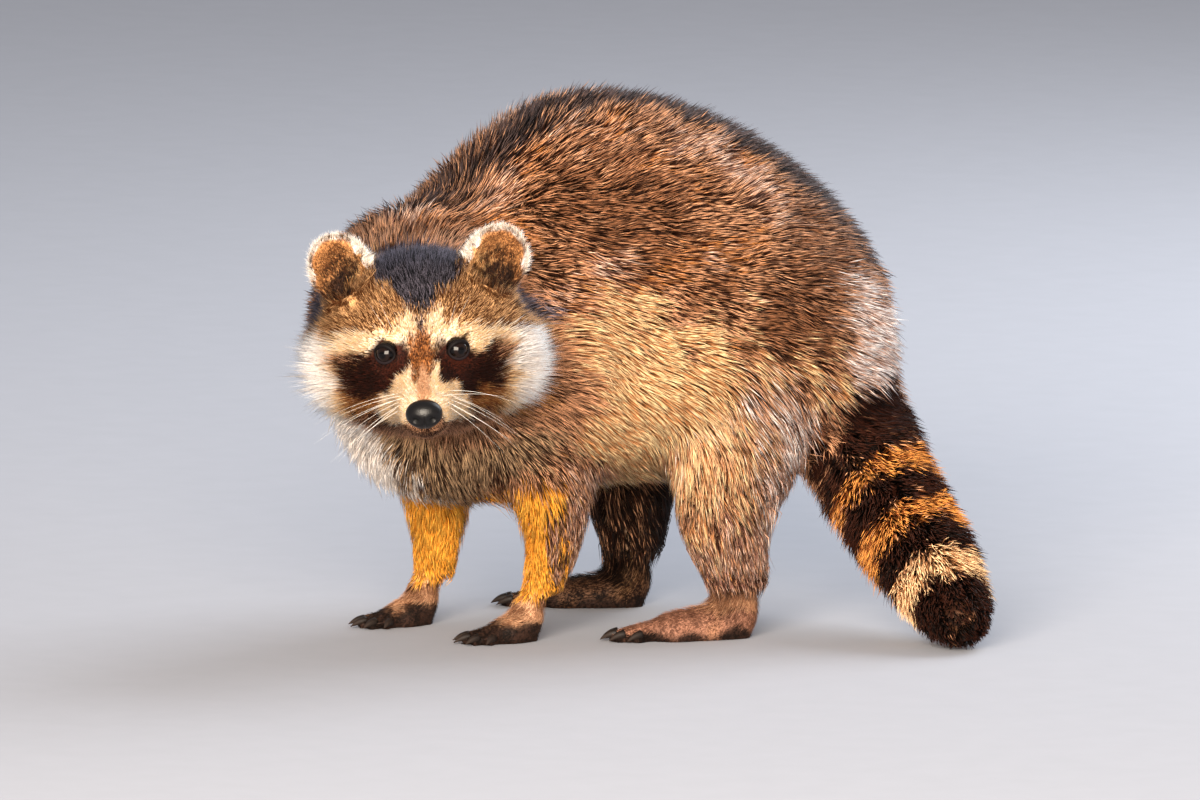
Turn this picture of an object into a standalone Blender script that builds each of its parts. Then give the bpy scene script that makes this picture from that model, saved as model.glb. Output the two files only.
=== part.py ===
"""Raccoon, a still, life-size model: hunched on four feet, head turned to its left.

Metres, +Z up.  The animal faces -Y and its left side is +X.  The floor is z = 0, and the origin
is at the middle of the model's box on the floor.  Every outline is that of the coat's tips.
The body is modelled whole and then parted with thin cuts, so that neighbours never overlap.
"""
import math

import bmesh
import bpy
import numpy as np
from mathutils import Matrix, Vector

# ---------------------------------------------------------------- driving dimensions (metres)
GAP = 0.0005                    # width of every parting cut
VOXEL_BODY = 0.0040             # grain at which the body's volumes are fused
VOXEL_FOOT = 0.0014
BODY_TRIANGLES = 2050
FOOT_TRIANGLES = 200
SIDES = 40                      # points round a ring of the trunk or head
CLAW_SIDES = 5
FLAT_ANGLE = math.radians(0.5)   # faces that meet flatter than this are joined

# Trunk, front to rear: middle x, y, half width, height of the widest level, top, underside.
TRUNK = (
    (0.017, -0.132, 0.028, 0.195, 0.222, 0.162),
    (0.015, -0.122, 0.055, 0.187, 0.252, 0.120),
    (0.011, -0.098, 0.080, 0.178, 0.277, 0.095),
    (0.005, -0.060, 0.098, 0.174, 0.297, 0.086),
    (-0.001, -0.015, 0.112, 0.172, 0.337, 0.088),
    (-0.004, 0.040, 0.121, 0.172, 0.359, 0.092),
    (-0.002, 0.095, 0.127, 0.172, 0.355, 0.092),
    (0.003, 0.150, 0.128, 0.170, 0.336, 0.092),
    (0.010, 0.198, 0.118, 0.168, 0.306, 0.098),
    (0.016, 0.233, 0.100, 0.168, 0.272, 0.112),
    (0.018, 0.251, 0.070, 0.172, 0.241, 0.132),
    (0.019, 0.259, 0.032, 0.176, 0.206, 0.152),
)

# Neck, from inside the chest to inside the head: x, y, z, half width, half height.
NECK = (
    (-0.004, -0.050, 0.215, 0.080, 0.085),
    (0.012, -0.078, 0.218, 0.080, 0.080),
    (0.036, -0.100, 0.216, 0.074, 0.070),
    (0.062, -0.115, 0.214, 0.070, 0.062),
    (0.085, -0.127, 0.212, 0.055, 0.050),
)

# Head, in its own frame (x left, -y ahead, z up, origin mid-skull), rear to front:
# distance ahead, half width, height of the widest level, top, underside.
HEAD_PLACE = (0.102, -0.132, 0.212)
HEAD_YAW, HEAD_PITCH, HEAD_ROLL = math.radians(60), math.radians(14), math.radians(-3.5)
HEAD = (
    (-0.064, 0.030, 0.000, 0.034, -0.036),
    (-0.052, 0.058, -0.006, 0.050, -0.052),
    (-0.028, 0.075, -0.013, 0.060, -0.061),
    (-0.002, 0.083, -0.019, 0.062, -0.065),
    (0.014, 0.077, -0.021, 0.056, -0.063),
    (0.027, 0.060, -0.020, 0.043, -0.057),
    (0.039, 0.040, -0.018, 0.026, -0.051),
    (0.051, 0.0258, -0.019, 0.010, -0.047),
    (0.064, 0.0208, -0.020, -0.001, -0.043),
    (0.076, 0.0170, -0.020, -0.007, -0.037),
    (0.082, 0.0110, -0.020, -0.011, -0.030),
)
MUZZLE_STARTS = 0.0475          # distance ahead of the muzzle's parting cut
HEAD_ENDS = -0.046              # and of the cut behind the skull
HEAD_REACH = 0.0885             # half width of the space that the head fills

EYE_RADIUS = 0.0080
EYE_PLACE = (0.0224, -0.0372, 0.0100)
NOSE_SIZE = (0.0128, 0.0085, 0.0098)
NOSE_PLACE = (0.0, -0.0815, -0.0170)
EAR_SIZE = (0.0238, 0.0120, 0.0300)
EAR_PLACE = (0.0500, 0.0110, 0.0490)
EAR_HOLLOW = (0.0165, 0.0105, 0.0215)
EAR_HOLLOW_SHIFT = (0.0, -0.0088, 0.0035)
EAR_LEAN, EAR_TURN = math.radians(16), math.radians(12)

# Legs, top to bottom: x, y, z, half width across the body, half depth along it.
FORELEG_LEFT = (
    (0.048, -0.025, 0.190, 0.040, 0.050),
    (0.056, -0.018, 0.140, 0.036, 0.042),
    (0.060, -0.010, 0.100, 0.027, 0.031),
    (0.057, -0.008, 0.065, 0.019, 0.021),
    (0.052, -0.013, 0.035, 0.0145, 0.0150),
    (0.050, -0.018, 0.010, 0.0120, 0.0130),
)
FORELEG_RIGHT = (
    (-0.042, -0.040, 0.190, 0.040, 0.050),
    (-0.046, -0.038, 0.140, 0.036, 0.042),
    (-0.047, -0.037, 0.100, 0.027, 0.031),
    (-0.048, -0.036, 0.065, 0.019, 0.021),
    (-0.048, -0.038, 0.035, 0.0145, 0.0150),
    (-0.049, -0.043, 0.010, 0.0120, 0.0130),
)
HINDLEG_LEFT = (
    (0.062, 0.135, 0.205, 0.050, 0.072),
    (0.082, 0.122, 0.160, 0.046, 0.066),
    (0.094, 0.107, 0.115, 0.037, 0.050),
    (0.101, 0.098, 0.080, 0.028, 0.036),
    (0.106, 0.102, 0.050, 0.021, 0.026),
    (0.108, 0.105, 0.020, 0.017, 0.021),
)
HINDLEG_RIGHT = (
    (-0.052, 0.145, 0.205, 0.050, 0.072),
    (-0.064, 0.137, 0.160, 0.046, 0.066),
    (-0.066, 0.128, 0.115, 0.037, 0.050),
    (-0.060, 0.119, 0.080, 0.028, 0.036),
    (-0.053, 0.116, 0.050, 0.021, 0.025),
    (-0.050, 0.114, 0.020, 0.017, 0.020),
)
WRIST_HEIGHT = 0.030
ANKLE_HEIGHT = 0.036

# Tail, root to tip: x, y, z, radius.  It hangs to the left and its tip lies on the floor.
TAIL = (
    (0.012, 0.186, 0.200, 0.036),
    (0.028, 0.206, 0.170, 0.040),
    (0.060, 0.215, 0.134, 0.0435),
    (0.105, 0.213, 0.095, 0.0430),
    (0.150, 0.211, 0.066, 0.0405),
    (0.190, 0.208, 0.042, 0.0365),
    (0.217, 0.205, 0.0270, 0.0300),
    (0.236, 0.202, 0.0165, 0.0215),
    (0.246, 0.200, 0.0105, 0.0120),
)
TAIL_CUTS = (2.1, 3.6, 5.2)     # stations at which the tail is parted

# Feet: middle of the palm x, y, heading (0 is -Y, positive turns left), in the body's frame.
FOREPAWS = {
    "left": (0.050, -0.033, math.radians(-8)),
    "right": (-0.050, -0.056, math.radians(-4)),
}
HINDFEET = {
    "left": (0.104, 0.093, math.radians(-17)),
    "right": (-0.057, 0.104, math.radians(-32)),
}
FOREPAW_TOES = {
    "spread": tuple(math.radians(a) for a in (-44, -20, -1, 19, 42)),
    "reach": (0.0290, 0.0360, 0.0375, 0.0355, 0.0280),
    "radius": 0.0044,
    "start": 0.008,
}
HINDFOOT_TOES = {
    "spread": tuple(math.radians(a) for a in (-22, -11, -1, 9, 20)),
    "reach": (0.0660, 0.0740, 0.0760, 0.0725, 0.0630),
    "radius": 0.0048,
    "start": 0.030,
}
CLAW_LENGTH, CLAW_RADIUS = 0.0110, 0.0019

COLOURS = {
    "coat": (0.36, 0.22, 0.13), "dark": (0.05, 0.035, 0.03), "cream": (0.72, 0.58, 0.40),
    "ring": (0.45, 0.24, 0.10), "pad": (0.30, 0.18, 0.14), "eye": (0.012, 0.008, 0.006),
    "nose": (0.012, 0.012, 0.013), "claw": (0.16, 0.11, 0.08),
}


# ---------------------------------------------------------------- scene and materials
def clear_scene():
    """Remove whatever the file holds."""
    for old in list(bpy.data.objects):
        bpy.data.objects.remove(old)


def collection(name):
    """A collection of that name, linked to the scene."""
    made = bpy.data.collections.new(name)
    bpy.context.scene.collection.children.link(made)
    return made


def material(name, roughness, metallic=0.0):
    """A Principled material in the named colour."""
    made = bpy.data.materials.new(name)
    made.use_nodes = True
    shader = made.node_tree.nodes["Principled BSDF"]
    shader.inputs["Base Color"].default_value = (*COLOURS[name], 1.0)
    shader.inputs["Roughness"].default_value = roughness
    shader.inputs["Metallic"].default_value = metallic
    return made


# ---------------------------------------------------------------- shapes
def through(stations, count):
    """Rows on a smooth curve through the stations (Catmull-Rom), evenly spread between them."""
    rows = np.asarray(stations, dtype=float)
    padded = np.vstack([2 * rows[0] - rows[1], rows, 2 * rows[-1] - rows[-2]])
    place = np.linspace(0, len(rows) - 1, count)
    first = np.minimum(place.astype(int), len(rows) - 2)
    t = (place - first)[:, None]
    a, b, c, d = (padded[first + k] for k in range(4))
    return 0.5 * (2 * b + (c - a) * t + (2 * a - 5 * b + 4 * c - d) * t ** 2
                  + (3 * b - a - 3 * c + d) * t ** 3)


def mesh_object(name, bm, home):
    """An object that holds the bmesh, with all its faces pointing out."""
    bmesh.ops.recalc_face_normals(bm, faces=bm.faces)
    mesh = bpy.data.meshes.new(name)
    bm.to_mesh(mesh)
    bm.free()
    made = bpy.data.objects.new(name, mesh)
    home.objects.link(made)
    return made


def loft(name, rings, home, matrix=Matrix()):
    """A closed skin over rings of points, each end closed by a fan to its ring's middle."""
    bm = bmesh.new()
    rows = [[bm.verts.new(matrix @ Vector(p)) for p in ring] for ring in rings]
    for one, two in zip(rows, rows[1:]):
        for k in range(len(one)):
            n = (k + 1) % len(one)
            bm.faces.new((one[k], one[n], two[n], two[k]))
    for ring, row in ((rings[0], rows[0]), (rings[-1], rows[-1])):
        tip = bm.verts.new(matrix @ Vector(np.mean(ring, axis=0)))
        for k in range(len(row)):
            bm.faces.new((row[k], row[(k + 1) % len(row)], tip))
    return mesh_object(name, bm, home)


def oval(half_width, level, top, bottom):
    """Points (across, up) of an oval whose widest level may lie off its middle."""
    angle = np.linspace(0, 2 * math.pi, SIDES, endpoint=False)
    rise = np.where(np.sin(angle) > 0, top - level, level - bottom)
    return half_width * np.cos(angle), level + rise * np.sin(angle)


def upright_loft(name, stations, count, home):
    """A trunk: upright ovals square to the line of their middles, seen from above."""
    rows = through(stations, count)
    way = np.gradient(rows[:, :2], axis=0)
    way /= np.linalg.norm(way, axis=1)[:, None]
    rings = []
    for (x, y, half_width, level, top, bottom), (tx, ty) in zip(rows, way):
        across, up = oval(half_width, level, top, bottom)
        rings.append(np.column_stack([x + across * ty, y - across * tx, up]))
    return loft(name, rings, home)


def path_loft(name, stations, count, home, up=(0.0, -1.0, 0.0), sides=24):
    """A limb: ellipses square to a path; a station gives a place and one or two half sizes."""
    rows = through(stations, count)
    way = np.gradient(rows[:, :3], axis=0)
    way /= np.linalg.norm(way, axis=1)[:, None]
    across = np.cross(way, up)
    across /= np.linalg.norm(across, axis=1)[:, None]
    along = np.cross(across, way)
    angle = np.linspace(0, 2 * math.pi, sides, endpoint=False)
    wide, deep = rows[:, 3], rows[:, -1]
    rings = [row[:3] + np.outer(np.cos(angle) * w, a) + np.outer(np.sin(angle) * d, b)
             for row, w, d, a, b in zip(rows, wide, deep, across, along)]
    return loft(name, rings, home)


def ellipsoid(name, size, home, matrix=Matrix(), grow=0.0, u=12, v=8):
    """An ellipsoid with the given half sizes, grown by a clearance."""
    bm = bmesh.new()
    bmesh.ops.create_uvsphere(bm, u_segments=u, v_segments=v, radius=1.0)
    scale = Matrix.Diagonal((*(s + grow for s in size), 1.0))
    bmesh.ops.transform(bm, matrix=matrix @ scale, verts=bm.verts)
    return mesh_object(name, bm, home)


def block(name, low, high, home, matrix=Matrix()):
    """A box between two corners of a frame."""
    bm = bmesh.new()
    bmesh.ops.create_cube(bm, size=1.0)
    middle = (Vector(low) + Vector(high)) / 2
    scale = Matrix.Diagonal((*(Vector(high) - Vector(low)), 1.0))
    bmesh.ops.transform(bm, matrix=matrix @ Matrix.Translation(middle) @ scale, verts=bm.verts)
    return mesh_object(name, bm, home)


# ---------------------------------------------------------------- working on meshes
def evaluated(source, name, home):
    """A new object with the source's evaluated mesh; the source is removed."""
    graph = bpy.context.evaluated_depsgraph_get()
    mesh = bpy.data.meshes.new_from_object(source.evaluated_get(graph))
    made = bpy.data.objects.new(name, mesh)
    made.matrix_world = source.matrix_world
    home.objects.link(made)
    bpy.data.objects.remove(source)
    return made


def fuse(name, volumes, voxel, smooths, triangles, home):
    """One skin over overlapping volumes, smoothed and thinned to a number of triangles."""
    bm = bmesh.new()
    for volume in volumes:
        bm.from_mesh(volume.data)
        bpy.data.objects.remove(volume)
    whole = mesh_object(name, bm, home)
    remesh = whole.modifiers.new("Fuse", "REMESH")
    remesh.mode = "VOXEL"
    remesh.voxel_size = voxel
    smooth = whole.modifiers.new("Smooth", "SMOOTH")
    smooth.factor = 0.5
    smooth.iterations = smooths
    whole = evaluated(whole, name, home)
    count = sum(len(face.vertices) - 2 for face in whole.data.polygons)
    thin = whole.modifiers.new("Thin", "DECIMATE")
    thin.ratio = triangles / count
    return evaluated(whole, name, home)


def boolean(target, cutter, operation):
    """The target after a Boolean with the cutter."""
    step = target.modifiers.new(operation, "BOOLEAN")
    step.operation = operation
    step.object = cutter
    name, home = target.name, target.users_collection[0]
    target.name = name + "_before"
    return evaluated(target, name, home)


def copy_of(source, name, home):
    """An object with its own copy of the source's mesh."""
    made = bpy.data.objects.new(name, source.data.copy())
    home.objects.link(made)
    return made


def keep_largest(item):
    """Drop the crumbs that a cut leaves, and close up points that fell together."""
    bm = bmesh.new()
    bm.from_mesh(item.data)
    bmesh.ops.remove_doubles(bm, verts=bm.verts, dist=0.00001)
    left, islands = set(bm.verts), []
    while left:
        seed = left.pop()
        island, queue = {seed}, [seed]
        while queue:
            for edge in queue.pop().link_edges:
                for vert in edge.verts:
                    if vert in left:
                        left.discard(vert)
                        island.add(vert)
                        queue.append(vert)
        islands.append(island)
    largest = max(islands, key=len)
    crumbs = [vert for vert in bm.verts if vert not in largest]
    bmesh.ops.delete(bm, geom=crumbs, context="VERTS")
    bmesh.ops.dissolve_limit(bm, angle_limit=FLAT_ANGLE, verts=bm.verts, edges=bm.edges)
    bmesh.ops.triangulate(bm, faces=bm.faces)
    bm.to_mesh(item.data)
    bm.free()


def cut_below(item, height):
    """Cut the item flat at a height and keep what is above."""
    bm = bmesh.new()
    bm.from_mesh(item.data)
    cut = bmesh.ops.bisect_plane(bm, geom=bm.verts[:] + bm.edges[:] + bm.faces[:], dist=1e-7,
                                 plane_co=(0, 0, height), plane_no=(0, 0, 1), clear_inner=True)
    rim = [e for e in cut["geom_cut"] if isinstance(e, bmesh.types.BMEdge)]
    bmesh.ops.edgeloop_fill(bm, edges=rim)
    bmesh.ops.recalc_face_normals(bm, faces=bm.faces)
    bm.to_mesh(item.data)
    bm.free()


class Carver:
    """The whole body, from which named pieces are carved one after the other."""

    def __init__(self, body, parts, guides):
        self.body, self.parts, self.guides = body, parts, guides
        self.pieces = {}

    def guide(self, region):
        region.hide_render = True
        region.display_type = "WIRE"
        region.hide_set(True)
        return region

    def remove(self, region):
        """Take the region's space out of the body."""
        self.body = boolean(self.body, self.guide(region), "DIFFERENCE")

    def piece(self, name, shape):
        """Carve the body inside shape(grow) as a piece, with a clear gap all round it."""
        inner = self.guide(shape(-GAP / 2))
        taken = copy_of(self.body, name, self.parts)
        taken = boolean(taken, inner, "INTERSECT")
        keep_largest(taken)
        self.pieces[name] = taken
        self.remove(shape(GAP / 2))

    def rest(self, name):
        """What is left of the body is the last piece."""
        self.body.name = name
        keep_largest(self.body)
        self.pieces[name] = self.body


# ---------------------------------------------------------------- the body's volumes
def head_frame():
    """The head's own frame in the body's."""
    return (Matrix.Translation(HEAD_PLACE) @ Matrix.Rotation(HEAD_YAW, 4, "Z")
            @ Matrix.Rotation(HEAD_PITCH, 4, "X") @ Matrix.Rotation(HEAD_ROLL, 4, "Y"))


def head_volume(home):
    """Skull, cheeks and muzzle: ovals square to the line ahead."""
    rings = []
    for ahead, half_width, level, top, bottom in through(HEAD, 40):
        across, up = oval(half_width, level, top, bottom)
        rings.append(np.column_stack([across, np.full(SIDES, -ahead), up]))
    return loft("head_volume", rings, home, head_frame())


def body_volume(guides):
    """The whole animal without ears and feet, as one skin that stops at the floor."""
    volumes = [
        upright_loft("trunk_volume", TRUNK, 50, guides),
        path_loft("neck_volume", NECK, 20, guides, up=(0.0, 0.0, 1.0)),
        head_volume(guides),
        path_loft("tail_volume", TAIL, 50, guides, up=(0.0, 0.0, 1.0)),
    ]
    for k, leg in enumerate((FORELEG_LEFT, FORELEG_RIGHT, HINDLEG_LEFT, HINDLEG_RIGHT)):
        volumes.append(path_loft(f"leg_volume_{k}", leg, 24, guides))
    body = fuse("body", volumes, VOXEL_BODY, 6, BODY_TRIANGLES, guides)
    cut_below(body, 0.0)
    return body


def ear_frame(side):
    """An ear's frame: centred on the ear, hollow facing ahead and a little outwards."""
    x, y, z = EAR_PLACE
    return (head_frame() @ Matrix.Translation((side * x, y, z))
            @ Matrix.Rotation(side * EAR_LEAN, 4, "Y") @ Matrix.Rotation(side * EAR_TURN, 4, "Z"))


def make_ear(name, side, parts, guides):
    """A thick rounded ear with a hollow scooped from its front."""
    frame = ear_frame(side)
    ear = ellipsoid(name, EAR_SIZE, parts, frame, u=16, v=8)
    hollow = ellipsoid("ear_hollow", EAR_HOLLOW, guides,
                       frame @ Matrix.Translation(EAR_HOLLOW_SHIFT), u=12, v=6)
    ear = boolean(ear, hollow, "DIFFERENCE")
    bpy.data.objects.remove(hollow)
    keep_largest(ear)
    return ear


# ---------------------------------------------------------------- feet and claws
def foot_frame(place):
    """A foot's frame on the floor: -y runs along the toes."""
    x, y, heading = place
    return Matrix.Translation((x, y, 0.0)) @ Matrix.Rotation(heading, 4, "Z")


def toe_path(toes, k):
    """The joint, knuckle and tip of a toe, in the foot's frame."""
    angle, reach, radius = toes["spread"][k], toes["reach"][k], toes["radius"]
    ray = np.array([math.sin(angle), -math.cos(angle), 0.0])
    root = np.array([0.0, -toes["start"], 0.0]) + ray * 0.002
    length = reach - toes["start"]
    heights = (1.5 * radius, 1.75 * radius, 1.25 * radius, 0.85 * radius, 0.75 * radius)
    spots = (0.0, 0.35, 0.70, 0.95, 1.0)
    sizes = (1.15, 1.10, 1.00, 0.85, 0.45)
    return [(*(root + ray * length * s)[:2], h, radius * w) for s, h, w in zip(spots, heights, sizes)]


def make_foot(name, place, toes, solids, guides, parts, top):
    """A foot: palm or sole volumes and five toes fused, flat below and cut level at the top."""
    frame = foot_frame(place)
    volumes = [ellipsoid("foot_volume", size, guides, frame @ Matrix.Translation(at))
               for size, at in solids]
    for k in range(5):
        toe = path_loft(f"toe_{k}", toe_path(toes, k), 14, guides, up=(0.0, 0.0, 1.0), sides=12)
        toe.data.transform(frame)
        volumes.append(toe)
    foot = fuse(name, volumes, VOXEL_FOOT, 3, FOOT_TRIANGLES, parts)
    cut_below(foot, 0.0)
    lid = block("foot_lid", (-0.1, -0.2, top - GAP / 2), (0.1, 0.2, top + 0.1), guides, frame)
    foot = boolean(foot, lid, "DIFFERENCE")
    bpy.data.objects.remove(lid)
    return foot


def claw_shape(name, place, toes, k, home, grow=0.0):
    """A claw: a small horn that runs on from its toe and bends down to its point."""
    angle, radius = toes["spread"][k], toes["radius"]
    ray = np.array([math.sin(angle), -math.cos(angle), 0.0])
    tip_of_toe = np.array([0.0, -toes["start"], 0.0]) + ray * (toes["reach"][k] - toes["start"])
    spots = (-0.0050, -0.0020, 0.0020, CLAW_LENGTH - 0.0056)
    heights = (0.95 * radius, 1.15 * radius, 1.05 * radius, 0.0013 + GAP)
    sizes = (0.75, 1.0, 0.75, 0.22)
    rows = [(*(tip_of_toe + ray * s)[:2], h, CLAW_RADIUS * w + grow)
            for s, h, w in zip(spots, heights, sizes)]
    claw = path_loft(name, rows, 3, home, up=(0.0, 0.0, 1.0), sides=CLAW_SIDES)
    claw.data.transform(foot_frame(place))
    return claw


def make_claws(foot, foot_name, place, toes, parts, guides):
    """Five claws, each in a socket of its toe with a clear gap."""
    claws = {}
    for k in range(5):
        name = f"claw_{foot_name}_{k + 1}"
        claws[name] = claw_shape(name, place, toes, k, parts)
        socket = claw_shape("socket", place, toes, k, guides, grow=GAP)
        foot = boolean(foot, socket, "DIFFERENCE")
        bpy.data.objects.remove(socket)
    keep_largest(foot)
    return foot, claws


FOREPAW_SOLIDS = (
    ((0.0135, 0.0165, 0.0135), (0.0, -0.004, 0.006)),
    ((0.0130, 0.0120, 0.0260), (0.0, 0.010, 0.022)),
)
HINDFOOT_SOLIDS = (
    ((0.0165, 0.0200, 0.0150), (0.0, -0.030, 0.006)),
    ((0.0150, 0.0300, 0.0165), (0.0, -0.010, 0.008)),
    ((0.0155, 0.0180, 0.0300), (0.0, 0.010, 0.024)),
)


def make_feet(parts, guides):
    """The four feet and their claws."""
    feet, claws = {}, {}
    kinds = (("forepaw", FOREPAWS, FOREPAW_TOES, FOREPAW_SOLIDS, WRIST_HEIGHT),
             ("hindfoot", HINDFEET, HINDFOOT_TOES, HINDFOOT_SOLIDS, ANKLE_HEIGHT))
    for kind, places, toes, solids, top in kinds:
        for side, place in places.items():
            name = f"{kind}_{side}"
            foot = make_foot(name, place, toes, solids, guides, parts, top)
            foot, own = make_claws(foot, name, place, toes, parts, guides)
            feet[name] = foot
            claws.update(own)
    return feet, claws


# ---------------------------------------------------------------- parting the body
def leg_regions(guides):
    """Name and region of each leg piece: ellipsoids that reach into the trunk's sides."""
    fore = {"left": (0.060, -0.012), "right": (-0.047, -0.038)}
    hind = {"left": (0.095, 0.112), "right": (-0.064, 0.132)}
    for side, (x, y) in hind.items():
        yield f"hindleg_{side}", lambda g, m=(x, y, 0.106): ellipsoid(
            "region", (0.060, 0.070, 0.098), guides, Matrix.Translation(m), grow=g, u=14, v=10)
    for side, (x, y) in fore.items():
        yield f"foreleg_{side}", lambda g, m=(x, y, 0.070): ellipsoid(
            "region", (0.042, 0.050, 0.080), guides, Matrix.Translation(m), grow=g, u=14, v=10)


def tail_frame(station):
    """A frame on the tail's path, +z running on toward the tip."""
    rows = through(TAIL, 10 * (len(TAIL) - 1) + 1)
    k = round(station * 10)
    way = Vector(rows[k + 1][:3] - rows[k - 1][:3])
    return Matrix.Translation(rows[k][:3]) @ way.to_track_quat("Z", "Y").to_matrix().to_4x4()


def part_body(body, parts, guides):
    """Part the body into its named pieces."""
    carver = Carver(body, parts, guides)
    head = head_frame()
    for place, top in ((FORELEG_LEFT, WRIST_HEIGHT), (FORELEG_RIGHT, WRIST_HEIGHT),
                       (HINDLEG_LEFT, ANKLE_HEIGHT), (HINDLEG_RIGHT, ANKLE_HEIGHT)):
        x, y = place[-1][:2]
        carver.remove(block("below", (x - 0.04, y - 0.045, -0.1), (x + 0.04, y + 0.045, top + GAP / 2),
                            guides))
    for side in (1, -1):
        x, y, z = EYE_PLACE
        carver.remove(ellipsoid("socket", (EYE_RADIUS,) * 3, guides,
                                head @ Matrix.Translation((side * x, y, z)), grow=GAP))
        carver.remove(ellipsoid("socket", EAR_SIZE, guides, ear_frame(side), grow=GAP, u=16, v=8))
    carver.remove(ellipsoid("socket", NOSE_SIZE, guides, head @ Matrix.Translation(NOSE_PLACE),
                            grow=GAP))

    carver.piece("muzzle", lambda g: block(
        "region", (-0.06, -0.12, -0.08), (0.06, -MUZZLE_STARTS + g, 0.06), guides, head))
    carver.piece("head", lambda g: block(
        "region", (-HEAD_REACH, -0.12, -0.070), (HEAD_REACH, -HEAD_ENDS + g, 0.08), guides, head))
    neck = Matrix.Translation((0.022, -0.104, 0.20)) @ Matrix.Rotation(math.radians(38), 4, "Z")
    carver.piece("neck", lambda g: block(
        "region", (-0.13, -0.10, -0.068 - g), (0.102, g, 0.12), guides, neck))
    for name, station in zip(("tail_tip", "tail_middle", "tail_base"), reversed(TAIL_CUTS)):
        carver.piece(name, lambda g, s=station: block(
            "region", (-0.06, -0.06, -g), (0.06, 0.06, 0.30), guides, tail_frame(s)))
    for name, shape in leg_regions(guides):
        carver.piece(name, shape)
    carver.piece("chest", lambda g: block(
        "region", (-0.2, -0.2, 0.0), (0.2, 0.020 + g, 0.4), guides))
    carver.piece("rump", lambda g: block(
        "region", (-0.2, 0.150 - g, 0.0), (0.2, 0.4, 0.4), guides))
    carver.rest("trunk")
    return carver.pieces


# ---------------------------------------------------------------- the whole model
def finish(items):
    """Materials, and the origin moved to the middle of the model's box on the floor."""
    kinds = {"eye": 0.08, "nose": 0.35, "claw": 0.4, "coat": 0.9, "dark": 0.9, "cream": 0.9,
             "ring": 0.9, "pad": 0.7}
    finishes = {name: material(name, roughness) for name, roughness in kinds.items()}
    wearing = {"eye": "eye", "nose": "nose", "claw": "claw", "ear": "cream", "muzzle": "cream",
               "head": "cream", "tail": "ring", "forepaw": "dark", "hindfoot": "pad"}
    points = np.array([v.co[:] for item in items for v in item.data.vertices])
    middle = (points.min(axis=0) + points.max(axis=0)) / 2
    move = Matrix.Translation((-middle[0], -middle[1], 0.0))
    for item in items:
        item.data.transform(move)
        item.data.materials.clear()
        item.data.materials.append(finishes[wearing.get(item.name.split("_")[0], "coat")])
        item.data.shade_smooth()


def main():
    clear_scene()
    parts, guides = collection("raccoon"), collection("guides")
    pieces = part_body(body_volume(guides), parts, guides)
    head = head_frame()
    for side, word in ((1, "left"), (-1, "right")):
        x, y, z = EYE_PLACE
        pieces[f"eye_{word}"] = ellipsoid(f"eye_{word}", (EYE_RADIUS,) * 3, parts,
                                          head @ Matrix.Translation((side * x, y, z)))
        pieces[f"ear_{word}"] = make_ear(f"ear_{word}", side, parts, guides)
    pieces["nose"] = ellipsoid("nose", NOSE_SIZE, parts, head @ Matrix.Translation(NOSE_PLACE))
    feet, claws = make_feet(parts, guides)
    pieces.update(feet)
    pieces.update(claws)
    for guide in list(guides.objects):
        if guide not in pieces.values():
            bpy.data.objects.remove(guide)
    for item in pieces.values():
        if item.name not in parts.objects:
            guides.objects.unlink(item)
            parts.objects.link(item)
    finish(list(pieces.values()))


main()
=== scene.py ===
"""Skin, coat and finishes of a still, life-size raccoon, built round its packed solids.

One skin lies inside the solids of flesh by the depth of the coat.  Tufts of hair stand on it as
solid wedges that follow the lie of the coat, and skin and tufts take the same markings.
Metres, +Z up; the body faces -Y and its left side is +X.
"""
import math

import bpy
import numpy as np
from mathutils import Matrix, Vector, kdtree


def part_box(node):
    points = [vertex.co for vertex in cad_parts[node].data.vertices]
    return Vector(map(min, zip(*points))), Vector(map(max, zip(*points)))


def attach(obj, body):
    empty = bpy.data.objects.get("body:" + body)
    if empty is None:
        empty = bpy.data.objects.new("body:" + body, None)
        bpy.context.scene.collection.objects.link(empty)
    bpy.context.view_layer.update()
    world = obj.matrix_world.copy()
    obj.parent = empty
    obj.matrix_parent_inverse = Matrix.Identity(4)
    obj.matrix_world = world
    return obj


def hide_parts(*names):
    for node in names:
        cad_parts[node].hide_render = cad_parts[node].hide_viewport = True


bl_info = {
    "name": "Raccoon coat and finishes",
    "version": (1, 0, 0),
    "blender": (4, 5, 0),
    "location": "3D View > Sidebar > Raccoon",
    "description": "Builds the skin, fur, eyes, nose, claws and whiskers of a standing raccoon",
    "category": "Mesh",
}

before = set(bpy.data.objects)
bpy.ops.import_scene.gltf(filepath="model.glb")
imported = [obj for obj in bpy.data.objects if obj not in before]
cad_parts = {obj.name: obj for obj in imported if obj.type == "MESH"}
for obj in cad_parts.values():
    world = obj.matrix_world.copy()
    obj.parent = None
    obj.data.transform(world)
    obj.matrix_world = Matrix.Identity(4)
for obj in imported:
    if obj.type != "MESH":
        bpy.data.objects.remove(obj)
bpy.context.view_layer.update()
MM = 0.001
BODY = "root"

SKIN_VOXEL = 1.9 * MM           # grain at which the flesh solids are fused
SKIN_TRIANGLES = 150000
PATCH = 0.003                   # size of a tuft's patch in the bake map
WAVES = 14                      # sines summed in the smooth noise
EAR_SECTORS = 24                # headings at which an ear's outline is read
SQUARE_CM = 1e4                 # square centimetres in a square metre
SOLE_HEIGHT = 0.2 * MM          # least heights over the floor: the skin, a tuft's ring, its tip
RING_HEIGHT = 0.5 * MM
TIP_HEIGHT = 0.6 * MM
TUFT_ROOT = 0.4 * MM            # how far under the skin a tuft starts
SWAY_SIZE = 0.045               # size over which the lie of the hair wanders
FACE_SPOTS = ((1 / 3,) * 3, (0.6, 0.2, 0.2), (0.2, 0.6, 0.2), (0.2, 0.2, 0.6))

# Rounds of smoothing over the skin for each field of the coat.
ROUNDS = {"share": 10, "width": 14, "depth": 26, "flow": 34}

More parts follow.
